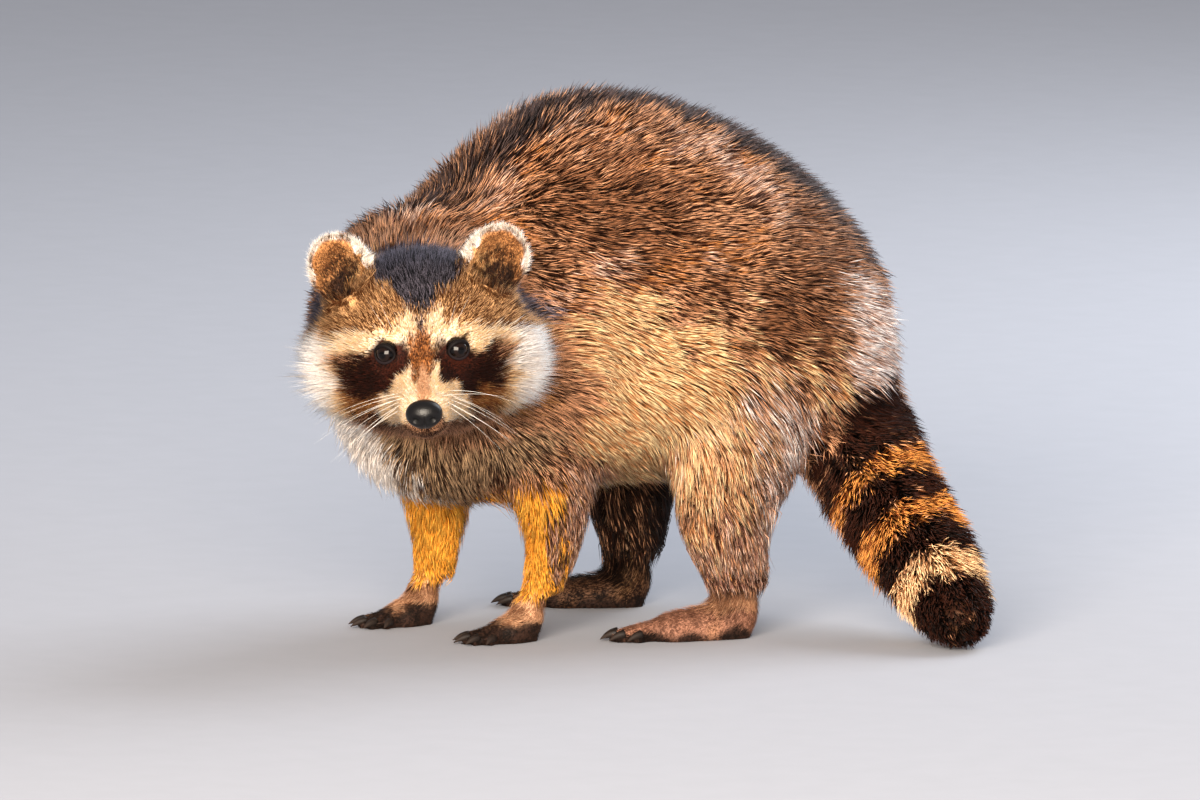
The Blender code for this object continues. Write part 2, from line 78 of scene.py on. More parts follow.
# Grids of the round parts: steps along each, and steps round it.
EYE_GRID, LID_GRID, NOSE_GRID, CLAW_GRID, WHISKER_GRID = (40, 56), (72, 14), (110, 150), (16, 12), (18, 5)

# The line from the eyes to the nose slopes down by this much in the head's own frame, and the
# face's markings are laid out on a plane that leans forward at the brow by FACE_LEAN.
NOSE_SLOPE = math.atan2(27.0, 44.3)
FACE_LEAN = math.radians(22)

# Coat by kind of node: depth over the skin, hair length, tuft width (mm), tufts per square cm.
COAT = {
    "head": (6.0, 10.0, 0.56, 99),
    "muzzle": (2.2, 4.2, 0.40, 170),
    "nose": (5.0, 2.0, 0.40, 0),
    "eye": (4.2, 3.0, 0.40, 0),
    "ear": (1.6, 6.5, 0.42, 150),
    "neck": (18.0, 24.0, 0.85, 40),
    "chest": (20.0, 28.0, 0.83, 34),
    "trunk": (19.0, 23.5, 0.80, 42),
    "rump": (20.0, 26.5, 0.84, 37),
    "tail": (19.0, 25.0, 0.92, 54),
    "foreleg": (7.0, 14.0, 0.66, 52),
    "hindleg": (12.0, 23.0, 0.82, 39),
    "forepaw": (1.0, 3.6, 0.50, 90),
    "hindfoot": (1.0, 4.0, 0.50, 90),
}

# Markings: colour of the pale hairs and of the dark hairs (sRGB).  Later ones lie over earlier.
MARKINGS = {
    "ground": ("#eaab80", "#301609"),
    "rosy": ("#ffd8c0", "#80584a"),
    "russet": ("#d88c4c", "#4c240f"),
    "umber": ("#a06a48", "#261208"),
    # Golden tan of the lower flank and shoulder: the coat's tawny hair, made paler and warmer by painted
    # sunlight.
    "golden": ("#ffe2ac", "#bc8050"),
    "pale": ("#fff8f4", "#bc9888"),
    "chest": ("#d2aa80", "#3c281c"),
    "bib": ("#fff8f2", "#e6d8cc"),
    "spine": ("#5a4844", "#0b0809"),
    # Orange of the lower legs: painted warm sunlight over the legs' own grey-brown hair.
    "leg": ("#ffc252", "#e2942e"),
    # Dark hair of the right hind leg and foot: their own dark brown, deepened to near black by painted shade.
    "shank": ("#2a140a", "#100602"),
    "wrist": ("#e0ac84", "#8e6044"),
    "instep": ("#b48068", "#664232"),
    "paw": ("#3c2820", "#150d09"),
    "ring_rust": ("#e49a4e", "#743c18"),
    "ring_tan": ("#f8d2a2", "#a3714a"),
    "ring_black": ("#34160a", "#0c0402"),
    "forehead": ("#fec488", "#5c3417"),
    # Crown: black hair whose pale hairs are grey grizzle with a painted bluish sheen.
    "crown": ("#78707c", "#141318"),
    # Orange on the cheeks beside the mask: partly the coat's own rusty tone, partly painted warm sunlight.
    "rust": ("#e0a05c", "#703f1f"),
    "cream": ("#fff2dc", "#ecc494"),
    "ruff": ("#ffffff", "#e8dcd4"),
    "bridge": ("#c87a3a", "#48220e"),
    "snout": ("#eab890", "#c08c66"),
    "mask": ("#42190b", "#180702"),
    "ear_back": ("#7b6a60", "#2a2224"),
    "ear_inner": ("#dc9c62", "#683e20"),
    # Dark low in the ear's hollow: painted shade.
    "ear_hollow": ("#4a2c1a", "#120a07"),
    "ear_tan": ("#f2c890", "#b8814e"),
    "ear_rim": ("#ffffff", "#f0e4d4"),
}


# ---------------------------------------------------------------- small tools
def unit(vectors):
    """Vectors brought to length one."""
    size = np.linalg.norm(vectors, axis=-1, keepdims=True)
    return vectors / np.maximum(size, 1e-12)


def step(x, low, high):
    """Smooth step: 0 below low, 1 above high, 3t^2 - 2t^3 between."""
    t = np.clip((x - low) / (high - low), 0.0, 1.0)
    return t * t * (3.0 - 2.0 * t)


def fall(x, low, high):
    """Smooth step down: 1 below low, 0 above high."""
    return 1.0 - step(x, low, high)


def band(x, low, high, soft):
    """1 between low and high, falling to 0 over the soft width at each end."""
    return step(x, low - soft / 2, low + soft / 2) * fall(x, high - soft / 2, high + soft / 2)


def blob(x, y, middle, half, turn, soft):
    """1 inside an ellipse turned anticlockwise by turn degrees, 0 outside, over a soft edge."""
    c, s = math.cos(math.radians(turn)), math.sin(math.radians(turn))
    dx, dy = x - middle[0], y - middle[1]
    reach = np.hypot((dx * c + dy * s) / half[0], (dy * c - dx * s) / half[1])
    return fall(reach, 1.0 - soft, 1.0 + soft)


def wave_noise(points, size, seed, channels=1):
    """Smooth noise about -1..1: a sum of sines of random heading, wavelength near the size."""
    rng = np.random.default_rng(seed)
    waves = unit(rng.normal(size=(WAVES, 3))) * rng.uniform(0.6, 1.6, (WAVES, 1))
    phase = points @ waves.T * (2 * math.pi / size)
    shifts = rng.uniform(0, 2 * math.pi, (channels, WAVES))
    return np.stack([np.sin(phase + shift).sum(axis=1) for shift in shifts], -1) / math.sqrt(WAVES / 2)


def linear(code):
    """An sRGB hex colour as linear red, green, blue and 1."""
    channels = np.array([int(code[k:k + 2], 16) / 255 for k in (1, 3, 5)])
    low, high = channels / 12.92, ((channels + 0.055) / 1.055) ** 2.4
    return (*(float(v) for v in np.where(channels <= 0.04045, low, high)), 1.0)


def kind_of(node):
    """The kind of a node: its name up to the first underscore."""
    return node.split("_")[0]


def middle(node):
    """The middle of a CAD node's box."""
    low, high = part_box(node)
    return (np.array(low) + np.array(high)) / 2


def read_mesh(mesh):
    """A mesh's points and triangles as arrays."""
    points = np.empty((len(mesh.vertices), 3))
    mesh.vertices.foreach_get("co", points.reshape(-1))
    mesh.calc_loop_triangles()
    faces = np.empty((len(mesh.loop_triangles), 3), dtype=np.int64)
    mesh.loop_triangles.foreach_get("vertices", faces.reshape(-1))
    return points, faces


def node_mesh(node):
    """The points and triangles of a CAD node."""
    return read_mesh(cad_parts[node].data)


def node_points(node):
    """The points of a CAD node's mesh."""
    return node_mesh(node)[0]


def point_tree(points):
    """A search tree of points, numbered in their order."""
    tree = kdtree.KDTree(len(points))
    for number, point in enumerate(points):
        tree.insert(point, number)
    tree.balance()
    return tree


def nearest(tree, points):
    """The number of the tree's point that lies nearest each point."""
    return np.array([tree.find(point)[1] for point in points])


def mesh_piece(name, points, faces):
    """An object at the origin from an array of points and an array of equal-sided faces."""
    mesh = bpy.data.meshes.new(name)
    mesh.vertices.add(len(points))
    mesh.vertices.foreach_set("co", np.ascontiguousarray(points, dtype=np.float32).ravel())
    mesh.loops.add(faces.size)
    mesh.loops.foreach_set("vertex_index", np.ascontiguousarray(faces, dtype=np.int32).ravel())
    mesh.polygons.add(len(faces))
    mesh.polygons.foreach_set("loop_start", np.arange(0, faces.size, faces.shape[1], dtype=np.int32))
    mesh.update(calc_edges=True)
    mesh.validate()
    mesh.shade_smooth()
    piece = bpy.data.objects.new(name, mesh)
    bpy.context.scene.collection.objects.link(piece)
    return piece


def set_attribute(piece, name, values):
    """A float attribute, one value to a point."""
    layer = piece.data.attributes.new(name, "FLOAT", "POINT")
    layer.data.foreach_set("value", np.ascontiguousarray(values, dtype=np.float32))


def outward(points, faces):
    """Triangles turned so that the closed surface they make holds a positive volume."""
    a, b, c = (points[faces[:, k]] - points.mean(axis=0) for k in range(3))
    return faces if (a * np.cross(b, c)).sum() > 0 else faces[:, ::-1]


def rings_mesh(rings, loop=False):
    """Points and triangles of a surface carried over closed rings.

    Its ends are drawn to their middles, or with loop the last ring joins the first.
    """
    rows, columns = rings.shape[:2]
    span = rows if loop else rows - 1
    r, c = np.meshgrid(np.arange(span), np.arange(columns), indexing="ij")
    here, beside = r * columns + c, r * columns + (c + 1) % columns
    over, across = (here + columns) % (rows * columns), (beside + columns) % (rows * columns)
    faces = np.concatenate([np.stack([here, beside, across], -1), np.stack([here, across, over], -1)])
    faces, points = faces.reshape(-1, 3), rings.reshape(-1, 3)
    if not loop:
        turn = np.arange(columns)
        after, top = (turn + 1) % columns, (rows - 1) * columns
        ends = np.full(columns, rows * columns)
        first = np.stack([after, turn, ends], -1)
        last = np.stack([turn + top, after + top, ends + 1], -1)
        faces = np.concatenate([faces, first, last])
        points = np.concatenate([points, rings[[0, -1]].mean(axis=1)])
    return points, outward(points, faces)


def tube(path, radius, sides):
    """Rings about a path: centre + radius (side cos a + other sin a), square to the path."""
    way = unit(np.gradient(path, axis=0))
    side = unit(np.cross(way, (0.31, 0.17, 0.94)))
    other = np.cross(way, side)
    angle = np.linspace(0, 2 * math.pi, sides, endpoint=False)
    ring = np.cos(angle)[None, :, None] * side[:, None] + np.sin(angle)[None, :, None] * other[:, None]
    return path[:, None] + ring * np.asarray(radius)[:, None, None]


def joined(parts):
    """Points and faces of many small meshes made one."""
    starts = np.cumsum([0] + [len(points) for points, _ in parts])
    faces = [faces + start for (_, faces), start in zip(parts, starts)]
    return np.concatenate([points for points, _ in parts]), np.concatenate(faces)


def dress(piece, material, slot, *nodes):
    """Finish a piece: its material, its body, its record slot and the nodes it stands for."""
    piece.data.materials.clear()
    piece.data.materials.append(material)
    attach(piece, BODY)
    if nodes:
        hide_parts(*nodes)
    return piece


# ---------------------------------------------------------------- the animal's own frames
class Head:
    """The head's frame, read from its eyes and nose: origin between the eyes."""

    def __init__(self):
        left, right = middle("eye_left"), middle("eye_right")
        self.origin = (left + right) / 2
        self.left = unit(left - right)
        slope = middle("nose") - self.origin
        slope = unit(slope - self.left * (slope @ self.left))
        square = np.cross(slope, self.left)
        self.ahead = slope * math.cos(NOSE_SLOPE) + square * math.sin(NOSE_SLOPE)
        self.up = square * math.cos(NOSE_SLOPE) - slope * math.sin(NOSE_SLOPE)

    def local(self, points):
        """Distances to the left, ahead and up from between the eyes."""
        away = points - self.origin
        return away @ self.left, away @ self.ahead, away @ self.up

    def face(self, points):
        """Places on the face's plane in millimetres: to the left, and up along the face."""
        left, ahead, up = self.local(points)
        rise = up * math.cos(FACE_LEAN) - ahead * math.sin(FACE_LEAN)
        return left / MM, rise / MM

    def place(self, left, ahead, up):
        """The point at those distances from between the eyes."""
        return self.origin + self.left * left + self.ahead * ahead + self.up * up


def tail_path():
    """Points along the tail: out of the rump, through its lengths' middles, to the tip."""
    base, half, tip = (node_points(f"tail_{part}") for part in ("base", "middle", "tip"))
    root = node_points("rump")
    near = root[np.linalg.norm(root - base.mean(axis=0), axis=1).argsort()[:12]].mean(axis=0)
    way = unit(tip.mean(axis=0) - half.mean(axis=0))
    end = tip.mean(axis=0) + way * ((tip - tip.mean(axis=0)) @ way).max()
    return np.array([near, base.mean(axis=0), half.mean(axis=0), tip.mean(axis=0), end])


def along(points, path, samples=200, rounds=30):
    """For each point its place on a smoothed polyline (0 to 1), and the line's direction there."""
    lengths = np.concatenate([[0], np.cumsum(np.linalg.norm(np.diff(path, axis=0), axis=1))])
    places = np.linspace(0, lengths[-1], samples)
    line = np.stack([np.interp(places, lengths, path[:, k]) for k in range(3)], -1)
    for _ in range(rounds):
        line[1:-1] = (line[:-2] + line[1:-1] + line[2:]) / 3
    index = nearest(point_tree(line), points)
    way = unit(np.gradient(line, axis=0))
    return index / (samples - 1), way[index]


# ---------------------------------------------------------------- the skin
class Skin:
    """The skin's mesh as arrays, with the fields that the coat follows."""

    def __init__(self, piece):
        self.points, self.faces = read_mesh(piece.data)
        pairs = np.sort(self.faces[:, [0, 1, 1, 2, 2, 0]].reshape(-1, 2), axis=1)
        self.edges = np.unique(pairs, axis=0)
        self.degree = np.bincount(self.edges.ravel(), minlength=len(self.points)).astype(float)
        self.update_normals()

    def update_normals(self):
        """Corner normals: the sum of the normals of the faces round each corner."""
        a, b, c = (self.points[self.faces[:, k]] for k in range(3))
        square = np.cross(b - a, c - a)
        self.areas = np.linalg.norm(square, axis=1) / 2
        total = np.stack([np.bincount(self.faces.ravel(), np.repeat(square[:, k], 3), len(self.points))
                          for k in range(3)], -1)
        self.normals = unit(total)

    def spread(self, values, rounds):
        """Each value moved to the mean of itself and its neighbours' mean, so many times."""
        values = values.reshape(len(self.points), -1).astype(float)
        one, two = self.edges.T
        for _ in range(rounds):
            for k in range(values.shape[1]):
                column = values[:, k]
                total = (np.bincount(one, column[two], len(column))
                         + np.bincount(two, column[one], len(column)))
                values[:, k] = (column + total / self.degree) / 2
        return values.squeeze()

    def even_ankles(self, rounds=60):
        """Even out the step from leg to foot, in rounds that smooth and then grow back a little.

        Each round's second move is 1.04 of a smoothing, the other way: the volume stays, and
        only the sharper shape goes.
        """
        where = band(self.points[:, 2], 0.015, 0.066, 0.014)[:, None]
        for _ in range(rounds):
            for share in (1.0, -1.04):
                change = self.spread(self.points, 1) - self.points
                self.points = self.points + change * where * share
        self.update_normals()


def fused_flesh(nodes):
    """One closed mesh over copies of the flesh solids, smoothed and thinned."""
    merged = mesh_piece("skin", *joined([node_mesh(node) for node in nodes]))
    weld = merged.modifiers.new("Weld", "WELD")
    weld.merge_threshold = 0.02 * MM
    remesh = merged.modifiers.new("Fuse", "REMESH")
    remesh.mode = "VOXEL"
    remesh.voxel_size = SKIN_VOXEL
    even = merged.modifiers.new("Even", "SMOOTH")
    even.factor = 0.5
    even.iterations = 14
    apply_modifiers(merged)
    thin = merged.modifiers.new("Thin", "DECIMATE")
    thin.ratio = SKIN_TRIANGLES / (2 * len(merged.data.polygons))
    apply_modifiers(merged)
    return merged


def apply_modifiers(piece):
    """Keep what the modifiers make as the piece's own mesh."""
    graph = bpy.context.evaluated_depsgraph_get()
    graph.update()
    mesh = bpy.data.meshes.new_from_object(piece.evaluated_get(graph))
    piece.modifiers.clear()
    piece.data = mesh


def node_of_points(points, nodes):
    """The index of the CAD node whose corners, or spots on whose faces, lie nearest each point."""
    spots = []
    for node in nodes:
        corners, faces = node_mesh(node)
        on_faces = [np.einsum("nkc,k->nc", corners[faces], share) for share in FACE_SPOTS]
        spots.append(np.concatenate([corners, *on_faces]))
    owner = np.repeat(np.arange(len(nodes)), [len(group) for group in spots])
    return owner[nearest(point_tree(np.concatenate(spots)), points)]


def part_toes(skin, coat, width=1.9 * MM, deep=3.4 * MM):
    """Press a groove between each two toes: a Gaussian furrow that runs back from their claws."""
    claws = sorted(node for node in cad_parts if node.startswith("claw_"))
    for one, two in zip(claws, claws[1:]):
        foot = "_".join(one.split("_")[1:3])
        if foot not in two:
            continue
        start = (middle(one) + middle(two)) / 2
        here = coat.owner == coat.nodes.index(foot)
        back = unit((middle(foot) - start) * (1.0, 1.0, 0.0))
        away = skin.points - start
        inward, across = away @ back, away @ np.array([-back[1], back[0], 0.0])
        furrow = np.exp(-(across / width) ** 2) * band(inward, -6 * MM, 13 * MM, 9 * MM)
        press = furrow * step(skin.normals[:, 2], -0.6, 0.2) * here
        skin.points = skin.points - skin.normals * (press * deep)[:, None]
    skin.update_normals()


# Coat of a leg: depth at the ankle and at the top, hair length at both (mm), height of the top.
LEG_COAT = (("foreleg", 3.2, 15.0, 8.0, 24.0, 0.115), ("hindleg", 3.5, 21.0, 14.0, 34.0, 0.150))


class Coat:
    """The fields of the coat at a set of points: where they are, and how the hair lies there."""

    def __init__(self, skin, nodes):
        self.head, self.nodes = Head(), nodes
        self.outer = skin.points.copy()
        self.owner = node_of_points(self.outer, nodes)
        self.kinds = np.array([kind_of(node) for node in nodes])[self.owner]
        self.tail_place, tail_way = along(self.outer, tail_path())
        table = np.array([COAT[kind] for kind in self.kinds])
        depth, length, width, density = table.T
        depth, length = self.shape_depth(depth * MM, length * MM)
        flow = self.lie(skin.normals, tail_way)
        masks = {kind: (self.kinds == kind).astype(float) for kind in COAT}
        self.shares = {kind: skin.spread(mask, ROUNDS["share"]) for kind, mask in masks.items()}
        self.depth, self.length = (skin.spread(v, ROUNDS["depth"]) for v in (depth, length))
        self.width, self.density = (skin.spread(v, ROUNDS["width"]) for v in (width * MM, density))
        for side in ("left", "right"):
            away = np.linalg.norm(self.outer - middle(f"eye_{side}"), axis=1)
            self.density = self.density * step(away, 8.2 * MM, 9.4 * MM)
            self.length = self.length * (0.42 + 0.58 * step(away, 9.0 * MM, 20.0 * MM))
        flow = skin.spread(flow, ROUNDS["flow"])
        flow -= skin.normals * (flow * skin.normals).sum(axis=1)[:, None]
        self.flow = unit(flow)
        self.lay(skin)

    def shape_depth(self, depth, length):
        """Depth and length of coat where they change within a node.

        Legs: both grow with height.  Head: thin round eyes and nose, deep on the cheeks.
        """
        z = self.outer[:, 2]
        for kind, low, high, near, far, top in LEG_COAT:
            here = self.kinds == kind
            rise, hanging = step(z, 0.025, top), step(z, 0.025, top * 0.75)
            depth = np.where(here, (low + (high - low) * rise) * MM, depth)
            length = np.where(here, (near + (far - near) * hanging) * MM, length)
        rise = step(z, 0.008, 0.034)
        here = np.isin(self.kinds, ("forepaw", "hindfoot"))
        depth = np.where(here, (1.0 + 2.6 * rise) * MM, depth)
        length = np.where(here, (3.6 + 11.0 * rise) * MM, length)
        here = self.kinds == "tail"
        shorter = 1.0 - 0.55 * step(self.tail_place, 0.72, 1.0)
        depth, length = (np.where(here, v * shorter, v) for v in (depth, length))
        left, ahead, up = self.head.local(self.outer)
        across, rise = self.head.face(self.outer)
        reach = np.hypot(across, rise + 16.0)
        face = step(reach, 20.0, 66.0)
        cheek = step(np.abs(left), 0.045, 0.078) * fall(up, -0.005, 0.030)
        throat = step(-up, 0.045, 0.070) * fall(ahead, -0.005, 0.020)
        here = self.kinds == "head"
        deep = 2.2 * MM + face * 4.8 * MM + cheek * 6.0 * MM + throat * 6.0 * MM
        longer = 3.8 * MM + face * 7.5 * MM + cheek * 12.0 * MM + throat * 12.0 * MM
        return np.where(here, deep, depth), np.where(here, longer, length)

    def lie(self, normals, tail_way):
        """The direction of the hair before it is smoothed over the skin.

        Head: away from the nose.  Trunk: rearward, and downward on the flanks.  Legs: down and
        back.  Feet: along the toes.  Tail: along its path.
        """
        count = len(self.outer)
        flow = np.zeros((count, 3))
        _, y, z = self.outer.T
        flank = 1.0 - np.abs(normals[:, 2])
        rear, down = np.array([0.0, 1.0, 0.0]), np.array([0.0, 0.0, -1.0])
        ways = {
            "neck": rear * 0.8 + down * 0.5 - self.head.ahead * 0.9,
            "trunk": rear + down * (0.12 + 0.42 * flank)[:, None],
            "rump": rear * 0.75 + down * (0.35 + 0.65 * step(-z, -0.26, -0.12))[:, None],
            "foreleg": down + rear * 0.22,
            "hindleg": down + rear * 0.42,
            "tail": tail_way,
        }
        front = step(-y, 0.055, 0.135)
        ways["chest"] = rear * (1.0 - 0.8 * front)[:, None] + down * (0.35 + 0.45 * flank + front)[:, None]
        for kind, way in ways.items():
            here = self.kinds == kind
            flow[here] = np.broadcast_to(way, (count, 3))[here]
        nose = self.head.place(0.0, 0.030, -0.027)
        out = unit(self.outer - nose)
        here = np.isin(self.kinds, ("head", "muzzle", "nose", "eye"))
        flow[here] = (out - self.head.ahead * 0.45)[here]
        for side in ("left", "right"):
            away = self.outer - middle(f"eye_{side}")
            near = np.exp(-(np.linalg.norm(away, axis=1) / (15.0 * MM)) ** 2)
            flow += unit(away) * (near * 2.0)[:, None]
            here = self.owner == self.nodes.index(f"ear_{side}")
            root = middle(f"ear_{side}") - self.head.up * 0.030
            flow[here] = unit(self.outer - root)[here] - self.head.ahead * 0.10
            for kind in ("forepaw", "hindfoot"):
                toes = node_points(f"{kind}_{side}")
                toes = toes[toes[:, 2] < 0.010]
                heading = np.linalg.svd(toes[:, :2] - toes[:, :2].mean(axis=0))[2][0]
                heading = heading * -np.sign(heading[1])
                here = self.owner == self.nodes.index(f"{kind}_{side}")
                dip = -0.30 - 1.8 * step(self.outer[here, 2], 0.015, 0.040)
                flow[here] = np.column_stack([np.tile(heading, (here.sum(), 1)), dip])
        return unit(flow)

    def lay(self, skin):
        """Move the skin in by the coat's depth, but keep the soles on the floor."""
        inner = self.outer - skin.normals * self.depth[:, None]
        inner = skin.spread(inner, 3)
        sole = (self.outer[:, 2] < 2.5 * MM) & (skin.normals[:, 2] < -0.4)
        feet = np.isin(self.kinds, ("forepaw", "hindfoot"))
        inner[:, 2] = np.where(sole & feet, SOLE_HEIGHT, np.maximum(inner[:, 2], SOLE_HEIGHT))
        skin.points = inner
        skin.update_normals()


# Blotches on both flanks: marking, middle and half size along y and z, strength.
BLOTCHES = (
    ("umber", (0.102, 0.214), (0.040, 0.036), 0.80),
    ("umber", (-0.012, 0.294), (0.066, 0.034), 0.75),
    ("russet", (0.040, 0.266), (0.060, 0.024), 0.62),
    ("rosy", (-0.014, 0.246), (0.036, 0.026), 0.60),
    # The golden blotches: tawny hair with painted warm sunlight on the lower flank and shoulder.
    ("golden", (0.026, 0.148), (0.070, 0.056), 1.00),
    ("golden", (0.100, 0.148), (0.064, 0.036), 0.85),
    ("golden", (0.020, 0.104), (0.070, 0.030), 0.80),
    ("umber", (0.150, 0.262), (0.048, 0.048), 0.60),
    ("golden", (-0.032, 0.205), (0.040, 0.036), 0.65),
)


def behind_leg(points, kind):
    """How far points lie outward of, and behind, the middle of their own side's leg or foot."""
    left = points[:, 0] > middle("trunk")[0]
    near = np.where(left[:, None], middle(f"{kind}_left"), middle(f"{kind}_right"))
    away = points - near
    return np.where(left, away[:, 0], -away[:, 0]), away[:, 1]


def markings(coat, skin):
    """The strength of each marking, 0 to 1, at each corner of the skin.

    Marks are laid out on the outer surface of the coat; the face's on the face's plane in
    millimetres from between the eyes, the body's by height, length and kind of node.
    """
    points, share = coat.outer, coat.shares
    x, y, z = points.T
    trunk = share["trunk"] + share["rump"] + share["neck"] + share["chest"]
    ridge = middle("trunk")[0]
    blur = wave_noise(points, 0.030, 5)[:, 0] * 0.006
    # The animal's right side. Its hind leg and foot get painted shade; only the left hind foot takes the
    # lighter cuff and instep.
    right = step(ridge - x, -0.01, 0.01)
    blotch = dict.fromkeys(("rosy", "russet", "umber", "golden"), 0.0)
    for name, centre, half, strength in BLOTCHES:
        spot = blob(y + blur, z + 2 * blur, centre, half, 0, 0.45) * strength
        blotch[name] = np.maximum(blotch[name], spot)
    mottle = wave_noise(points, 0.050, 41, 3).T
    for name, field in zip(("rosy", "russet", "umber"), mottle):
        blotch[name] = np.maximum(blotch[name], 0.55 * step(field, 0.3, 1.3) * step(z, 0.14, 0.20))
    aside = np.abs(x - ridge) + blur
    seat = step(aside, 0.062, 0.106) * step(y + blur, 0.125, 0.175) * band(z, 0.110, 0.240, 0.060)
    fringe = fall(z + blur, 0.070, 0.110) * 0.6
    bib = step(-y, 0.030, 0.090) * fall(z + blur, 0.150, 0.215)
    white = bib * step(ridge - x + blur - 0.4 * (y + 0.10), -0.034, 0.012)
    white = white * fall(ridge - x + blur, 0.058, 0.090)
    wide = 0.028 + 0.005 * step(y, -0.060, 0.010) + 0.049 * step(y, 0.030, 0.170)
    narrow = wide * step(z, 0.115, 0.235)
    back = fall(aside, narrow - 0.032, narrow + 0.018) * step(z, 0.130, 0.190)
    beside = band(aside, wide + 0.008, wide + 0.044, 0.020) * step(y, 0.020, 0.080) * step(z, 0.19, 0.24)
    calf = fall(z + blur, 0.085, 0.125)
    (out, shin), (_, heel) = behind_leg(points, "foreleg"), behind_leg(points, "hindfoot")
    behind = step(shin + 0.6 * out + blur, -0.004, 0.020)
    ankle = step(z + blur, 0.006, 0.024) * step(heel, -0.004, 0.022)
    before = fall(y - middle("hindleg_right")[1] + blur, -0.030, 0.006)
    sole = share["hindfoot"] * fall(z + blur * 0.3, 0.003, 0.009)
    marks = {
        "ground": np.ones(len(points)),
        "rosy": trunk * np.maximum(blotch["rosy"], 0.5 * beside) + 0.5 * share["hindleg"] * calf
        + 0.5 * share["foreleg"] * behind,
        "russet": trunk * blotch["russet"],
        "umber": trunk * blotch["umber"],
        # Golden: tawny hair with painted warm sunlight, on the flanks and a little on the thighs.
        "golden": (trunk + 0.4 * share["hindleg"]) * blotch["golden"] + 0.12 * share["hindleg"],
        "pale": trunk * np.maximum(fringe, seat * 0.85) + share["hindleg"] * (
            0.15 * step(z, 0.060, 0.120) + 0.4 * step(heel + blur, 0.028, 0.052)),
        "chest": trunk * bib * 0.85,
        "bib": trunk * white * 0.9,
        "spine": trunk * back * 0.90 * (1.0 - 0.75 * share["neck"]) * (0.85 + 0.15 * step(y, -0.05, 0.03)),
        # Orange on the lower forelegs, weaker on their rear, and a little on the hind calves and ankles:
        # painted warm sunlight over grey-brown hair.
        "leg": share["foreleg"] * fall(z + blur, 0.085, 0.125) * (1.0 - 0.8 * behind)
        + 0.12 * share["hindleg"] * calf + 0.22 * share["hindfoot"] * ankle,
        # Right hind leg and foot only, a little lighter towards the front: the legs' own dark brown deepened
        # by painted shade. The cuff and instep go on the left hind foot only, so the two sides differ by
        # painted light and shade.
        "shank": (share["hindleg"] * (0.95 - 0.30 * before) + share["hindfoot"] * 0.8) * right,
        "wrist": share["forepaw"] * (1.0 - 0.5 * step(z + blur, 0.022, 0.040))
        + 0.45 * share["foreleg"] * fall(z + blur, 0.026, 0.050)
        + 0.85 * share["hindfoot"] * ankle * (1.0 - right),
        "instep": share["hindfoot"] * (1.0 - right) * (1.0 - 0.8 * ankle),
        "paw": share["forepaw"] * fall(z + blur * 0.3, 0.010, 0.020) + sole,
    }
    marks.update(tail_rings(points, share["tail"], coat.tail_place))
    marks.update(face_markings(coat.head, points, share))
    marks.update(ear_markings(coat, skin))
    marks = {name: np.clip(marks[name], 0.0, 1.0) for name in MARKINGS}
    side, high = coat.head.face(points)
    ruff = share["head"] * step(np.abs(side), 50.0, 70.0) * fall(high, 5.0, 25.0)
    coat.lift = 1.0 + 1.9 * marks["ear_rim"] + 0.75 * ruff
    return marks


def tail_rings(points, share, place):
    """Rings square to the tail: rust and tan between black, with a black tip."""
    t = place + wave_noise(points, 0.020, 9)[:, 0] * 0.012
    black = (band(t, 0.10, 0.260, 0.04) * 0.85 + band(t, 0.340, 0.460, 0.03)
             + band(t, 0.557, 0.690, 0.03) + step(t, 0.795, 0.825))
    rust = band(t, 0.260, 0.340, 0.03) + band(t, 0.460, 0.557, 0.03) + 0.15 * step(t, 0.90, 0.98)
    here = step(share, 0.25, 0.75)
    return {"ring_rust": here * rust, "ring_tan": here * band(t, 0.690, 0.810, 0.03),
            "ring_black": here * black * (1.0 - 0.15 * step(t, 0.90, 0.98))}


